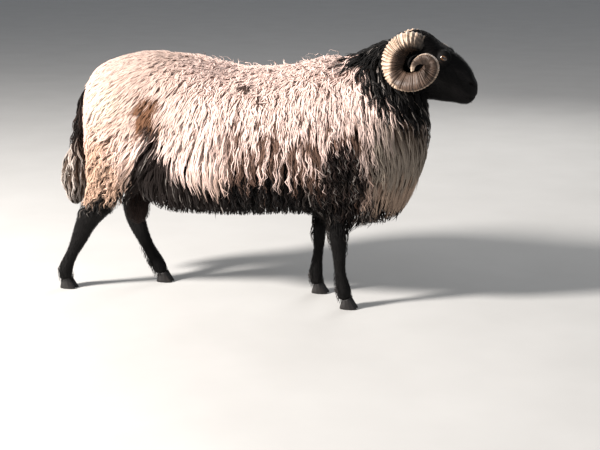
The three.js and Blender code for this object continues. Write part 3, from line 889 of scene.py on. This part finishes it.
# %% Claws and dewclaws
hoof_material, tree, shader = new_material("hoof")
place = tree.nodes.new("ShaderNodeTexCoord").outputs["Object"]
rings_at = tree.nodes.new("ShaderNodeMapping")
rings_at.inputs["Scale"].default_value = (60.0, 60.0, 420.0)
tree.links.new(place, rings_at.inputs["Vector"])
growth = noise(tree, rings_at.outputs[0], 1.0, 2.0)
dust = noise(tree, place, 90.0, 4.0)
tree.links.new(
    ramp(tree, dust, [(0.35, (0.006, 0.005, 0.005)), (0.62, (0.013, 0.010, 0.009)), (0.78, (0.040, 0.031, 0.025))]),
    shader.inputs["Base Color"],
)
shader.inputs["Roughness"].default_value = 0.45
bump(tree, shader, growth, 0.6, 0.0010)

bm = bmesh.new()
hoof_nodes = [f"{leg}_{part}" for leg in LEGS for part in ("claw_outer", "claw_inner", "dewclaw_outer", "dewclaw_inner")]
for name in hoof_nodes:
    claw = remeshed(copied([name]), name + "_form", 0.0016, 5)
    points = points_of(claw.data)
    low, high = points.min(axis=0), points.max(axis=0)
    middle_x, middle_y = (low[0] + high[0]) / 2, (low[1] + high[1]) / 2
    if "dewclaw" in name:
        points[:, 0] += 0.0055 + 0.25 * (high[2] - points[:, 2])
        points[:, 1] = middle_y + (points[:, 1] - middle_y) * 0.9
    else:
        rise = points[:, 2] / high[2]
        heel = smoothstep(0.75, 0.0, (points[:, 0] - low[0]) / (high[0] - low[0]))
        points[:, 0] -= 0.010 * rise * smoothstep(0.3, 1.0, (points[:, 0] - low[0]) / (high[0] - low[0]))
        points[:, 0] += 0.008 * rise * heel
        points[:, 1] = middle_y + (points[:, 1] - middle_y) * (1 - 0.22 * rise**2)
        points[:, 2] *= 1 - 0.16 * heel
    points[:, 2] = np.where(points[:, 2] < 0.0018, 0.0, points[:, 2])
    claw.data.vertices.foreach_set("co", points.ravel())
    bm.from_mesh(claw.data)
    bpy.data.objects.remove(claw)
for face in bm.faces:
    face.smooth = True
hooves = bpy.data.meshes.new("hooves")
bm.to_mesh(hooves)
bm.free()
hooves = add_object("hooves", hooves)
hooves.data.materials.append(hoof_material)
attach(hooves, "root")
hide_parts(*hoof_nodes)
print(f"hooves: {len(hooves.data.polygons)} faces")

# %% [markdown]
# ## A map of the skin
# Each lock takes its place on a map of the skin from its root. The map is unwrapped from a coarse copy of the
# skin's own shape, so locks that grow side by side lie side by side on it.

# %% Unwrap
bm = bmesh.new()
bm.from_mesh(skin.data)
chart = remeshed(bm, "chart", 0.011, 2)
bm = bmesh.new()
bm.from_mesh(chart.data)
bmesh.ops.triangulate(bm, faces=bm.faces)
bm.to_mesh(chart.data)
bm.free()
bpy.context.view_layer.objects.active = chart
chart.select_set(True)
bpy.ops.object.mode_set(mode="EDIT")
bpy.ops.mesh.select_all(action="SELECT")
bpy.ops.uv.smart_project(angle_limit=math.radians(66), island_margin=0.003)
bpy.ops.object.mode_set(mode="OBJECT")
chart_corners = points_of(chart.data)[np.array([tuple(p.vertices) for p in chart.data.polygons])]
flat = np.empty(len(chart.data.loops) * 2)
chart.data.uv_layers.active.data.foreach_get("uv", flat)
chart_uv = flat.reshape(-1, 3, 2)
chart_tree = BVHTree.FromObject(chart, bpy.context.evaluated_depsgraph_get())
bpy.data.objects.remove(chart)
print(f"map of {len(chart_uv)} faces")


def map_places(places):
    """Where each place lies on the map of the skin."""
    spot, _, face, _ = nearest(chart_tree, places)
    a, b, c = chart_corners[face].transpose(1, 0, 2)
    ab, ac, ap = b - a, c - a, spot - a
    d00, d01, d11 = (ab * ab).sum(1), (ab * ac).sum(1), (ac * ac).sum(1)
    d20, d21 = (ap * ab).sum(1), (ap * ac).sum(1)
    det = (d00 * d11 - d01 * d01).clip(1e-18)
    v = ((d11 * d20 - d01 * d21) / det).clip(0, 1)
    w = ((d00 * d21 - d01 * d20) / det).clip(0, 1)
    uv = chart_uv[face]
    return uv[:, 0] + v[:, None] * (uv[:, 1] - uv[:, 0]) + w[:, None] * (uv[:, 2] - uv[:, 0])


# %% [markdown]
# ## The coat
# A fleece hangs in locks, thin tapered strands that draw together into pointed bundles, with dark gaps low
# down where the bundles part. Each strand is traced over the skin along the lie, rises to the outside of the
# coat, leans towards the guide of its bundle and waves a little on the way. Short hair is the same, only
# smaller and without bundles.

# %% Roots, evenly scattered
def scatter(spacing, seed):
    """Roots on the skin. spacing is the wanted distance at each triangle, or 0 where nothing grows."""
    rng = np.random.default_rng(seed)
    wanted = np.where(spacing > 0, 2.6 * tri_area / np.maximum(spacing, 1e-6) ** 2, 0)
    total = int(wanted.sum())
    picks = rng.choice(len(tri_area), total, p=wanted / wanted.sum())
    u, v = rng.random(total), rng.random(total)
    fold = u + v > 1
    u[fold], v[fold] = 1 - u[fold], 1 - v[fold]
    a, b, c = skin_points[tri_points[picks]].transpose(1, 0, 2)
    places = a + u[:, None] * (b - a) + v[:, None] * (c - a)
    tree = KDTree(total)
    for i, place in enumerate(places):
        tree.insert(place, i)
    tree.balance()
    gap = spacing[picks] * 0.80
    free = np.ones(total, dtype=bool)
    kept = []
    for i in range(total):
        if free[i]:
            kept.append(i)
            for _, j, _ in tree.find_range(places[i], gap[i]):
                free[j] = False
    return places[kept], picks[kept]


# %% Paths over the skin
def trace(roots, tris, length, layer, steps, loose=1.0):
    """Each lock's path, and the outward direction along it."""
    place, tri = roots.copy(), tris.copy()
    places, outs = [roots - tri_normals[tri] * 0.0015], [tri_normals[tri]]
    for k in range(1, steps + 1):
        t = k / steps
        flow, out = tri_flow[tri], tri_normals[tri]
        hang = (smoothstep(0.25, 0.85, -out[:, 2]) * loose)[:, None]
        way = flow * (1 - hang) + np.array([0.0, 0.0, -1.0]) * hang
        place = place + way * (length / steps)[:, None]
        spot, _, tri, _ = nearest(skin_tree, place)
        out = tri_normals[tri]
        rise = tri_depth[tri] * layer * (0.12 + 0.88 * smoothstep(0.0, 0.6, t))
        height = ((place - spot) * out).sum(axis=1)
        height = np.clip(height, rise, tri_depth[tri] * 1.08 + 0.003)
        place = spot + out * height[:, None]
        places.append(place)
        outs.append(out)
    return np.stack(places, axis=1), np.stack(outs, axis=1)


def smooth_paths(paths, rounds=1):
    for _ in range(rounds):
        paths[:, 1:-1] = 0.5 * paths[:, 1:-1] + 0.25 * (paths[:, :-2] + paths[:, 2:])
    return paths


# %% From paths to one mesh
def lock_mesh(name, paths, outs, width, thick, soft, uv, colours, shaded_roots, phase):
    """Three-sided tapered strands along the paths, joined into one mesh. Soft ones are shaded as one fleece."""
    count, rings = paths.shape[0], paths.shape[1] - 1
    ahead = np.gradient(paths, axis=1)
    ahead /= np.linalg.norm(ahead, axis=2, keepdims=True).clip(1e-9)
    outs = outs - ahead * (outs * ahead).sum(axis=2, keepdims=True)
    outs /= np.linalg.norm(outs, axis=2, keepdims=True).clip(1e-9)
    across = np.cross(outs, ahead)
    t = np.linspace(0, 1, rings + 1)[None, :, None]
    taper = np.minimum(1, 0.55 + 1.6 * t) * (1 - t**2.4) ** 0.75
    roll = np.sin(phase[:, None] + 3.0 * t[:, :, 0]) * 0.6 * (1 - soft[:, None])
    verts = np.empty((count, rings * 3 + 1, 3))
    faced = np.empty((count, rings * 3 + 1, 3))
    for j in range(3):
        angle = roll + math.pi / 2 + j * 2 * math.pi / 3
        side = np.cos(angle)[:, :, None] * (width[:, None, None] * 0.577) * taper
        lift = np.sin(angle)[:, :, None] * (thick[:, None, None] * 0.577) * taper
        verts[:, j : rings * 3 : 3] = (paths + across * side + outs * lift)[:, :rings]
        round_out = across * np.cos(angle)[:, :, None] + outs * np.sin(angle)[:, :, None]
        faced[:, j : rings * 3 : 3] = (round_out + (outs - round_out) * soft[:, None, None])[:, :rings]
    verts[:, -1] = paths[:, -1]
    faced[:, -1] = outs[:, -1]

    faces, face_uv = [(0, 2, 1)], [((0.0, -0.12), (0.5, -0.12), (0.25, 0.0))]
    for k in range(rings - 1):
        for j in range(3):
            n = (j + 1) % 3
            a, b, c, d = 3 * k + j, 3 * k + n, 3 * k + 3 + n, 3 * k + 3 + j
            ua, ub, va, vb = j / 3, (j + 1) / 3, k / rings, (k + 1) / rings
            faces += [(a, b, c), (a, c, d)]
            face_uv += [((ua, va), (ub, va), (ub, vb)), ((ua, va), (ub, vb), (ua, vb))]
    last = 3 * (rings - 1)
    for j in range(3):
        faces.append((last + j, last + (j + 1) % 3, last + 3))
        face_uv.append(((j / 3, 1 - 1 / rings), ((j + 1) / 3, 1 - 1 / rings), ((j + 0.5) / 3, 1.0)))
    faces, face_uv = np.array(faces), np.array(face_uv)

    all_faces = (faces[None] + (np.arange(count) * (rings * 3 + 1))[:, None, None]).reshape(-1, 3)
    mesh = bpy.data.meshes.new(name)
    mesh.vertices.add(count * (rings * 3 + 1))
    mesh.vertices.foreach_set("co", verts.ravel())
    mesh.loops.add(all_faces.size)
    mesh.loops.foreach_set("vertex_index", all_faces.ravel().astype(np.int32))
    mesh.polygons.add(len(all_faces))
    mesh.polygons.foreach_set("loop_start", np.arange(0, all_faces.size, 3, dtype=np.int32))
    mesh.update(calc_edges=True)
    mesh.polygons.foreach_set("use_smooth", np.ones(len(all_faces), dtype=bool))
    faced /= np.linalg.norm(faced, axis=2, keepdims=True).clip(1e-9)
    mesh.normals_split_custom_set_from_vertices(faced.reshape(-1, 3))

    spread = face_uv.reshape(1, -1, 2)
    patch = uv[:, None] + 0.003 * (spread - 0.5)
    mesh.uv_layers.new(name="OFBake").data.foreach_set("uv", patch.ravel())
    reach = np.linalg.norm(np.diff(paths, axis=1), axis=2).sum(axis=1)
    own = spread * np.stack([width * 3.0, reach], axis=1)[:, None] + (phase * np.array([[0.37], [0.91]])).T[:, None]
    mesh.uv_layers.new(name="growth").data.foreach_set("uv", own.ravel())

    t = np.append(np.repeat(np.arange(rings), 3), rings) / rings
    # Painted shade: each strand darkens from its tip down to its shaded root colour.
    shaded = shaded_roots[:, None] + (colours - shaded_roots)[:, None] * smoothstep(0.0, 0.75, t)[None, :, None]
    paint(mesh, shaded.reshape(-1, 3))
    return mesh


def lay_coat(name, material, groups, most=185000):
    """Makes objects of locks, each under the limit of triangles."""
    made = []
    for group in groups:
        paths = group[0]
        per_lock = 6 * (paths.shape[1] - 2) + 4
        order = np.argsort(paths[:, 0, 0])
        for part in np.array_split(order, math.ceil(len(order) * per_lock / most)):
            label = f"{name}_{len(made) + 1}"
            piece = add_object(label, lock_mesh(label, *(values[part] for values in group)))
            piece.data.materials.append(material)
            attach(piece, "root")
            made.append(len(piece.data.polygons))
    print(f"{name}: {made} triangles")


# %% Long wool: where it grows and how closely
is_kind = {k: tri_kinds == i for i, k in enumerate(KINDS)}
tri_centres = skin_points[tri_points].mean(axis=1)
cx, cy, cz = tri_centres.T
upward = tri_normals[:, 2]
wool_area = is_kind["trunk"] | is_kind["neck"] | is_kind["tail"] | is_kind["thigh"]
wool_area |= is_kind["forearm"] & (cz > 0.32)
spacing = np.where(wool_area, 0.0069, 0.0)
spacing = np.where(wool_area & (upward > 0.4), 0.0057, spacing)
spacing = np.where(wool_area & (cx < -0.28) & (cz > 0.58), 0.0054, spacing)
spacing = np.where(wool_area & (upward < -0.5) & (cz < 0.42), 0.0105, spacing)
roots, root_tris = scatter(spacing, 21)
wisps, wisp_tris = scatter(np.where(wool_area, 0.0150, 0.0), 22)
locks, lock_tris = scatter(np.where(wool_area, 0.0360, 0.0), 23)
print(f"{len(roots)} strands in {len(wisps)} wisps in {len(locks)} locks")

# %% Styles of wool: length, wave height, wave length, how far strands draw together, relief, width, softness
STYLE = dict(
    upper=(0.088, 0.0015, 0.050, 0.36, 0.10, 0.0042, 0.78),
    lower=(0.160, 0.0058, 0.058, 0.90, 0.62, 0.0044, 0.32),
    sheet=(0.150, 0.0020, 0.085, 0.78, 0.20, 0.0048, 0.74),
    back=(0.058, 0.0036, 0.036, 0.42, 0.20, 0.0040, 0.50),
    rump=(0.048, 0.0007, 0.045, 0.20, 0.05, 0.0036, 0.80),
    hip=(0.068, 0.0020, 0.040, 0.50, 0.18, 0.0042, 0.70),
    thigh=(0.085, 0.0036, 0.040, 0.84, 0.52, 0.0044, 0.40),
    knee=(0.046, 0.0032, 0.028, 0.60, 0.30, 0.0038, 0.35),
    chest=(0.160, 0.0016, 0.085, 0.72, 0.24, 0.0044, 0.62),
    brisket=(0.120, 0.0028, 0.070, 0.80, 0.30, 0.0050, 0.50),
    shoulder_patch=(0.058, 0.0042, 0.026, 0.62, 0.36, 0.0042, 0.30),
    belly=(0.050, 0.0030, 0.030, 0.50, 0.25, 0.0050, 0.40),
    tail=(0.095, 0.0030, 0.046, 0.86, 0.50, 0.0042, 0.35),
    forearm=(0.034, 0.0015, 0.030, 0.40, 0.15, 0.0036, 0.50),
    collar=(0.068, 0.0028, 0.062, 0.68, 0.30, 0.0044, 0.40),
)


def style_at(places, tris):
    x, y, z = places.T
    up, kind = tri_normals[tris, 2], tri_kinds[tris]
    style = np.repeat(np.array([STYLE["upper"]]), len(x), axis=0)

    def settle(name, weight):
        style[:] += (np.array(STYLE[name]) - style) * np.asarray(weight, dtype=float)[:, None]

    settle("lower", smoothstep(0.62, 0.48, z))
    settle("sheet", smoothstep(-0.01, -0.08, x) * smoothstep(0.64, 0.54, z))
    settle("back", smoothstep(0.45, 0.85, up))
    settle("hip", smoothstep(-0.20, -0.32, x) * smoothstep(0.52, 0.62, z))
    settle("rump", smoothstep(-0.26, -0.38, x) * smoothstep(0.60, 0.70, z))
    settle("thigh", smoothstep(-0.32, -0.40, x) * smoothstep(0.64, 0.54, z))
    settle("chest", smoothstep(0.38, 0.46, x))
    settle("brisket", smoothstep(0.30, 0.40, x) * smoothstep(0.46, 0.38, z))
    settle("shoulder_patch", smoothstep(1.15, 0.85, np.hypot((x - 0.302) / 0.070, (z - 0.450) / 0.135)))
    settle("belly", up < -0.55)
    for name, part in (("thigh", "thigh"), ("tail", "tail"), ("forearm", "forearm")):
        settle(name, kind == KINDS.index(part))
    settle("knee", (kind == KINDS.index("thigh")) * smoothstep(0.37, 0.33, z))
    settle("collar", smoothstep(-0.01, 0.02, x - collar_x(z)) * (z > 0.60))
    return style.T


# %% Strands drawn into wisps, and wisps into locks
def nearest_of(places, targets):
    tree = KDTree(len(targets))
    for i, place in enumerate(targets):
        tree.insert(place, i)
    tree.balance()
    return np.array([tree.find(place)[1] for place in places])


def draw_to(paths, outs, targets, target_outs, pull, reach):
    """Moves paths towards others that start nearby, more and more towards the tip."""
    pull = pull * (np.linalg.norm(targets[:, :1] - paths[:, :1], axis=2) < reach)
    paths = paths + (targets - paths) * pull[:, :, None]
    outs = outs + (target_outs - outs) * pull[:, :, None]
    return paths, outs / np.linalg.norm(outs, axis=2, keepdims=True).clip(1e-9)


def wool(roots, tris, steps, seed):
    rng = np.random.default_rng(seed)
    count = len(roots)
    t = np.linspace(0, 1, steps + 1)[None]

    lock_rng = np.random.default_rng(51)
    lock_length, _, _, lock_draw, lock_relief, _, _ = style_at(locks, lock_tris)
    lock_layer = 1 - 0.45 * lock_relief * lock_rng.random(len(locks))
    lock_paths, lock_outs = trace(locks, lock_tris, lock_length, lock_layer, steps)

    wisp_lock = nearest_of(wisps, locks)
    wisp_length, _, _, wisp_draw, wisp_relief, _, _ = style_at(wisps, wisp_tris)
    order = np.lexsort((lock_rng.random(len(wisps)), wisp_lock))
    first = np.searchsorted(wisp_lock[order], wisp_lock[order])
    wisp_deep = np.empty(len(wisps))
    wisp_deep[order] = (np.arange(len(wisps)) - first + 0.5) / np.bincount(wisp_lock)[wisp_lock[order]]
    wisp_layer = lock_layer[wisp_lock] * (1 - 0.7 * wisp_relief * wisp_deep)
    wisp_stretch = lock_rng.uniform(0.82, 1.12, len(wisps))
    wisp_paths, wisp_outs = trace(wisps, wisp_tris, wisp_length * wisp_stretch, wisp_layer, steps)
    pull = (wisp_draw * lock_rng.uniform(0.4, 0.8, len(wisps)))[:, None] * smoothstep(0.1, 1.0, t)
    wisp_paths, wisp_outs = draw_to(wisp_paths, wisp_outs, lock_paths[wisp_lock], lock_outs[wisp_lock], pull, 0.06)
    wisp_beat = lock_rng.uniform(0, 2 * math.pi, len(wisps))
    wisp_tone = lock_rng.uniform(0.88, 1.04, len(wisps))
    wisp_own = lock_rng.normal(0, 0.4, len(wisps))

    crossing = (rng.random(count) < 0.14)[:, None] * smoothstep(0.66, 0.56, roots[:, 2:]) * (tri_kinds[tris] <= 1)[:, None]
    wisp = nearest_of(roots + rng.normal(0, 0.018, (count, 3)) * crossing, wisps)
    length, wave, period, draw, relief, width, soft = style_at(roots, tris)
    length = length * wisp_stretch[wisp] * rng.uniform(0.86, 1.08, count)
    layer = wisp_layer[wisp] * rng.uniform(0.84, 1.02, count)
    paths, outs = trace(roots, tris, length, layer, steps)
    place, tips = paths[:, round(0.62 * steps)].copy(), paths[:, round(0.88 * steps)].copy()
    pull = (draw * rng.uniform(0.75, 1.05, count)).clip(0, 0.95)[:, None] * smoothstep(0.0, 1.25 - 0.75 * draw[:, None], t)
    aside = rng.normal(0, 0.0016, (count, 1, 3))
    paths, outs = draw_to(paths, outs, wisp_paths[wisp] + aside, wisp_outs[wisp], pull, 0.03)
    paths = smooth_paths(paths)

    run = t * length[:, None]
    beat = 2 * math.pi * run / period[:, None] + wisp_beat[wisp][:, None]
    own_beat = 2 * math.pi * run / (period * 0.80)[:, None] + rng.uniform(0, 2 * math.pi, count)[:, None]
    ahead = np.gradient(paths, axis=1)
    pace = np.linalg.norm(ahead, axis=2, keepdims=True)
    ahead /= pace.clip(1e-9)
    across = np.cross(outs, ahead)
    up, x = tri_normals[tris, 2], roots[:, 0]
    stray = (rng.random(count) < np.where((up > 0.35) & (x > -0.16) & (x < 0.40), 0.045, 0.003)) & (tri_kinds[tris] <= 1)
    wave = wave * rng.uniform(0.6, 1.4, count) * np.where(stray, 3.0, 1.0)
    grow = smoothstep(0.03, 0.5, t) * (0.7 + 0.6 * t)
    grow = grow * (pace[:, :, 0] / (length / steps)[:, None]).clip(0, 1) ** 1.5
    sway = (wave[:, None] * (np.sin(beat) + 0.4 * np.sin(own_beat)) * grow)[:, :, None]
    bob = (wave[:, None] * (0.5 * np.cos(beat) + 0.25 * np.cos(own_beat)) * grow)[:, :, None]
    lift = (np.where(stray, rng.uniform(0.008, 0.022, count), 0.0)[:, None] * t**2)[:, :, None]
    paths = paths + across * sway + outs * (bob + lift)

    width = width * rng.uniform(0.75, 1.25, count) * np.where(stray, 1.3, 1.0)
    thick = width * (0.66 - 0.40 * soft) * rng.uniform(0.85, 1.15, count)
    own = wisp_own[wisp] + rng.normal(0, 0.2, count)
    colours = colours_at(place, tri_kinds[tris], own, tips)
    black = colours.mean(axis=1) < 0.05
    share = np.where(roots[:, 2] > 0.56, 0.06, np.where(np.abs(x - 0.30) < 0.10, 0.30, 0.05))
    grey = black & (rng.random(count) < share) & (tri_kinds[tris] != KINDS.index("tail"))
    colours[grey] = SILVER * rng.uniform(0.10, 0.52, (grey.sum(), 1))
    # Painted shade: wisps that lie deep in their lock are darkened, as the gaps between locks low on the flank and in
    # the tail.
    cut = np.interp(place[:, 2], [0.42, 0.64], [0.10, 0.70])
    deep_wisp_shade = smoothstep(cut, cut + 0.20, wisp_deep[wisp]) * smoothstep(0.68, 0.60, place[:, 2]) * smoothstep(-0.12, 0.00, x)
    deep_wisp_shade *= smoothstep(0.41, 0.35, x)
    deep_wisp_shade = np.maximum(deep_wisp_shade, (tri_kinds[tris] == KINDS.index("tail")) * smoothstep(0.35, 0.55, wisp_deep[wisp]))
    colours = colours * (1 - 0.82 * deep_wisp_shade[:, None] * np.array([1.0, 1.05, 1.08]))
    colours = colours * (wisp_tone[wisp] * rng.uniform(0.88, 1.07, count))[:, None]
    return paths, outs, width, thick, soft, map_places(roots), colours, shaded_root_colours(colours, roots), rng.uniform(0, 6.28, count)


long_ones = style_at(roots, root_tris)[0] > 0.085
lay_coat("fleece", WOOL, [
    wool(roots[long_ones], root_tris[long_ones], 9, 31),
    wool(roots[~long_ones], root_tris[~long_ones], 7, 32),
])

# %% Short hair on the face, ears and legs
hair_area = is_kind["head"] | is_kind["cannon"] | is_kind["pastern"] | is_kind["scrotum"] | is_kind["ear"]
hair_area |= is_kind["forearm"] & (cz <= 0.325)
hair_gap = np.where(hair_area, 0.0056, 0.0)
hair_gap = np.where(is_kind["head"] | is_kind["ear"], np.interp(cx, [0.52, 0.60], [0.0056, 0.0042]), hair_gap)
for side in (-1, 1):
    centre = eye_axes(side)[0]
    hair_gap = np.where(np.linalg.norm(tri_centres - centre, axis=1) < 0.0190, 0.0, hair_gap)
nose = (cx > 0.680) & is_kind["head"]
hair_gap = np.where(nose, 0.0, hair_gap)
hairs, hair_tris = scatter(hair_gap, 41)


def short_hair(roots, tris, steps, seed):
    rng = np.random.default_rng(seed)
    count = len(roots)
    kind = tri_kinds[tris]
    x, y, z = roots.T
    length = np.full(count, 0.012)
    head = kind == KINDS.index("head")
    length[head] = np.interp(x[head], [0.46, 0.53, 0.57, 0.62, 0.68], [0.036, 0.024, 0.011, 0.0075, 0.0045])
    horn_root = np.min([np.linalg.norm(roots - (0.533, way * 0.034, 0.827), axis=1) for way in (-1, 1)], axis=0)
    length[head] = np.maximum(length, 0.030 * smoothstep(0.056, 0.040, horn_root))[head]
    length[kind == KINDS.index("ear")] = 0.009
    length[kind == KINDS.index("forearm")] = 0.020
    length[kind == KINDS.index("scrotum")] = 0.014
    length[kind == KINDS.index("cannon")] = 0.011
    length[(kind == KINDS.index("pastern")) & (z > 0.05)] = 0.012
    behind = (kind == KINDS.index("cannon")) | (kind == KINDS.index("pastern"))
    behind &= (z < 0.125) & (z > 0.05) & (tri_normals[tris, 0] < -0.3)
    length[behind] = 0.016
    fringe = (kind == KINDS.index("pastern")) & (z < 0.056)
    length[fringe] = 0.013
    length = length * rng.uniform(0.8, 1.2, count)
    paths, outs = trace(roots, tris, length, rng.uniform(0.7, 1.3, count), steps, np.zeros(count))
    t = np.linspace(0, 1, steps + 1)[None, :, None]
    loose = np.where(fringe, 0.30, np.where(behind, 0.30, 0.0))[:, None]
    falls = roots[:, None] + t * (length[:, None] * (np.array([0.0, 0.0, -0.92]) + loose * tri_normals[tris]))[:, None]
    falls += tri_normals[tris][:, None] * 0.0015
    paths = np.where((fringe | behind)[:, None, None], falls, paths)
    width = 0.0009 + 0.095 * length * rng.uniform(0.8, 1.2, count)
    colours = colours_at(roots, kind) * rng.uniform(0.8, 1.35, count)[:, None]
    soft = np.full(count, 0.5)
    # Painted shade: each tuft is a little darker at its root.
    return paths, outs, width, width * 0.45, soft, map_places(roots), colours, colours * 0.8, rng.uniform(0, 6.28, count)


lay_coat("hair", HAIR, [short_hair(hairs, hair_tris, 3, 42)])
print(f"{len(hairs)} short tufts")

# %% Leftover nodes
covered = set(FLESH) | set(hoof_nodes) | {"eye_right", "eye_left", "ear_right", "ear_left", "horn_right", "horn_left"}
print("solids still showing:", [name for name in nodes if name not in covered])
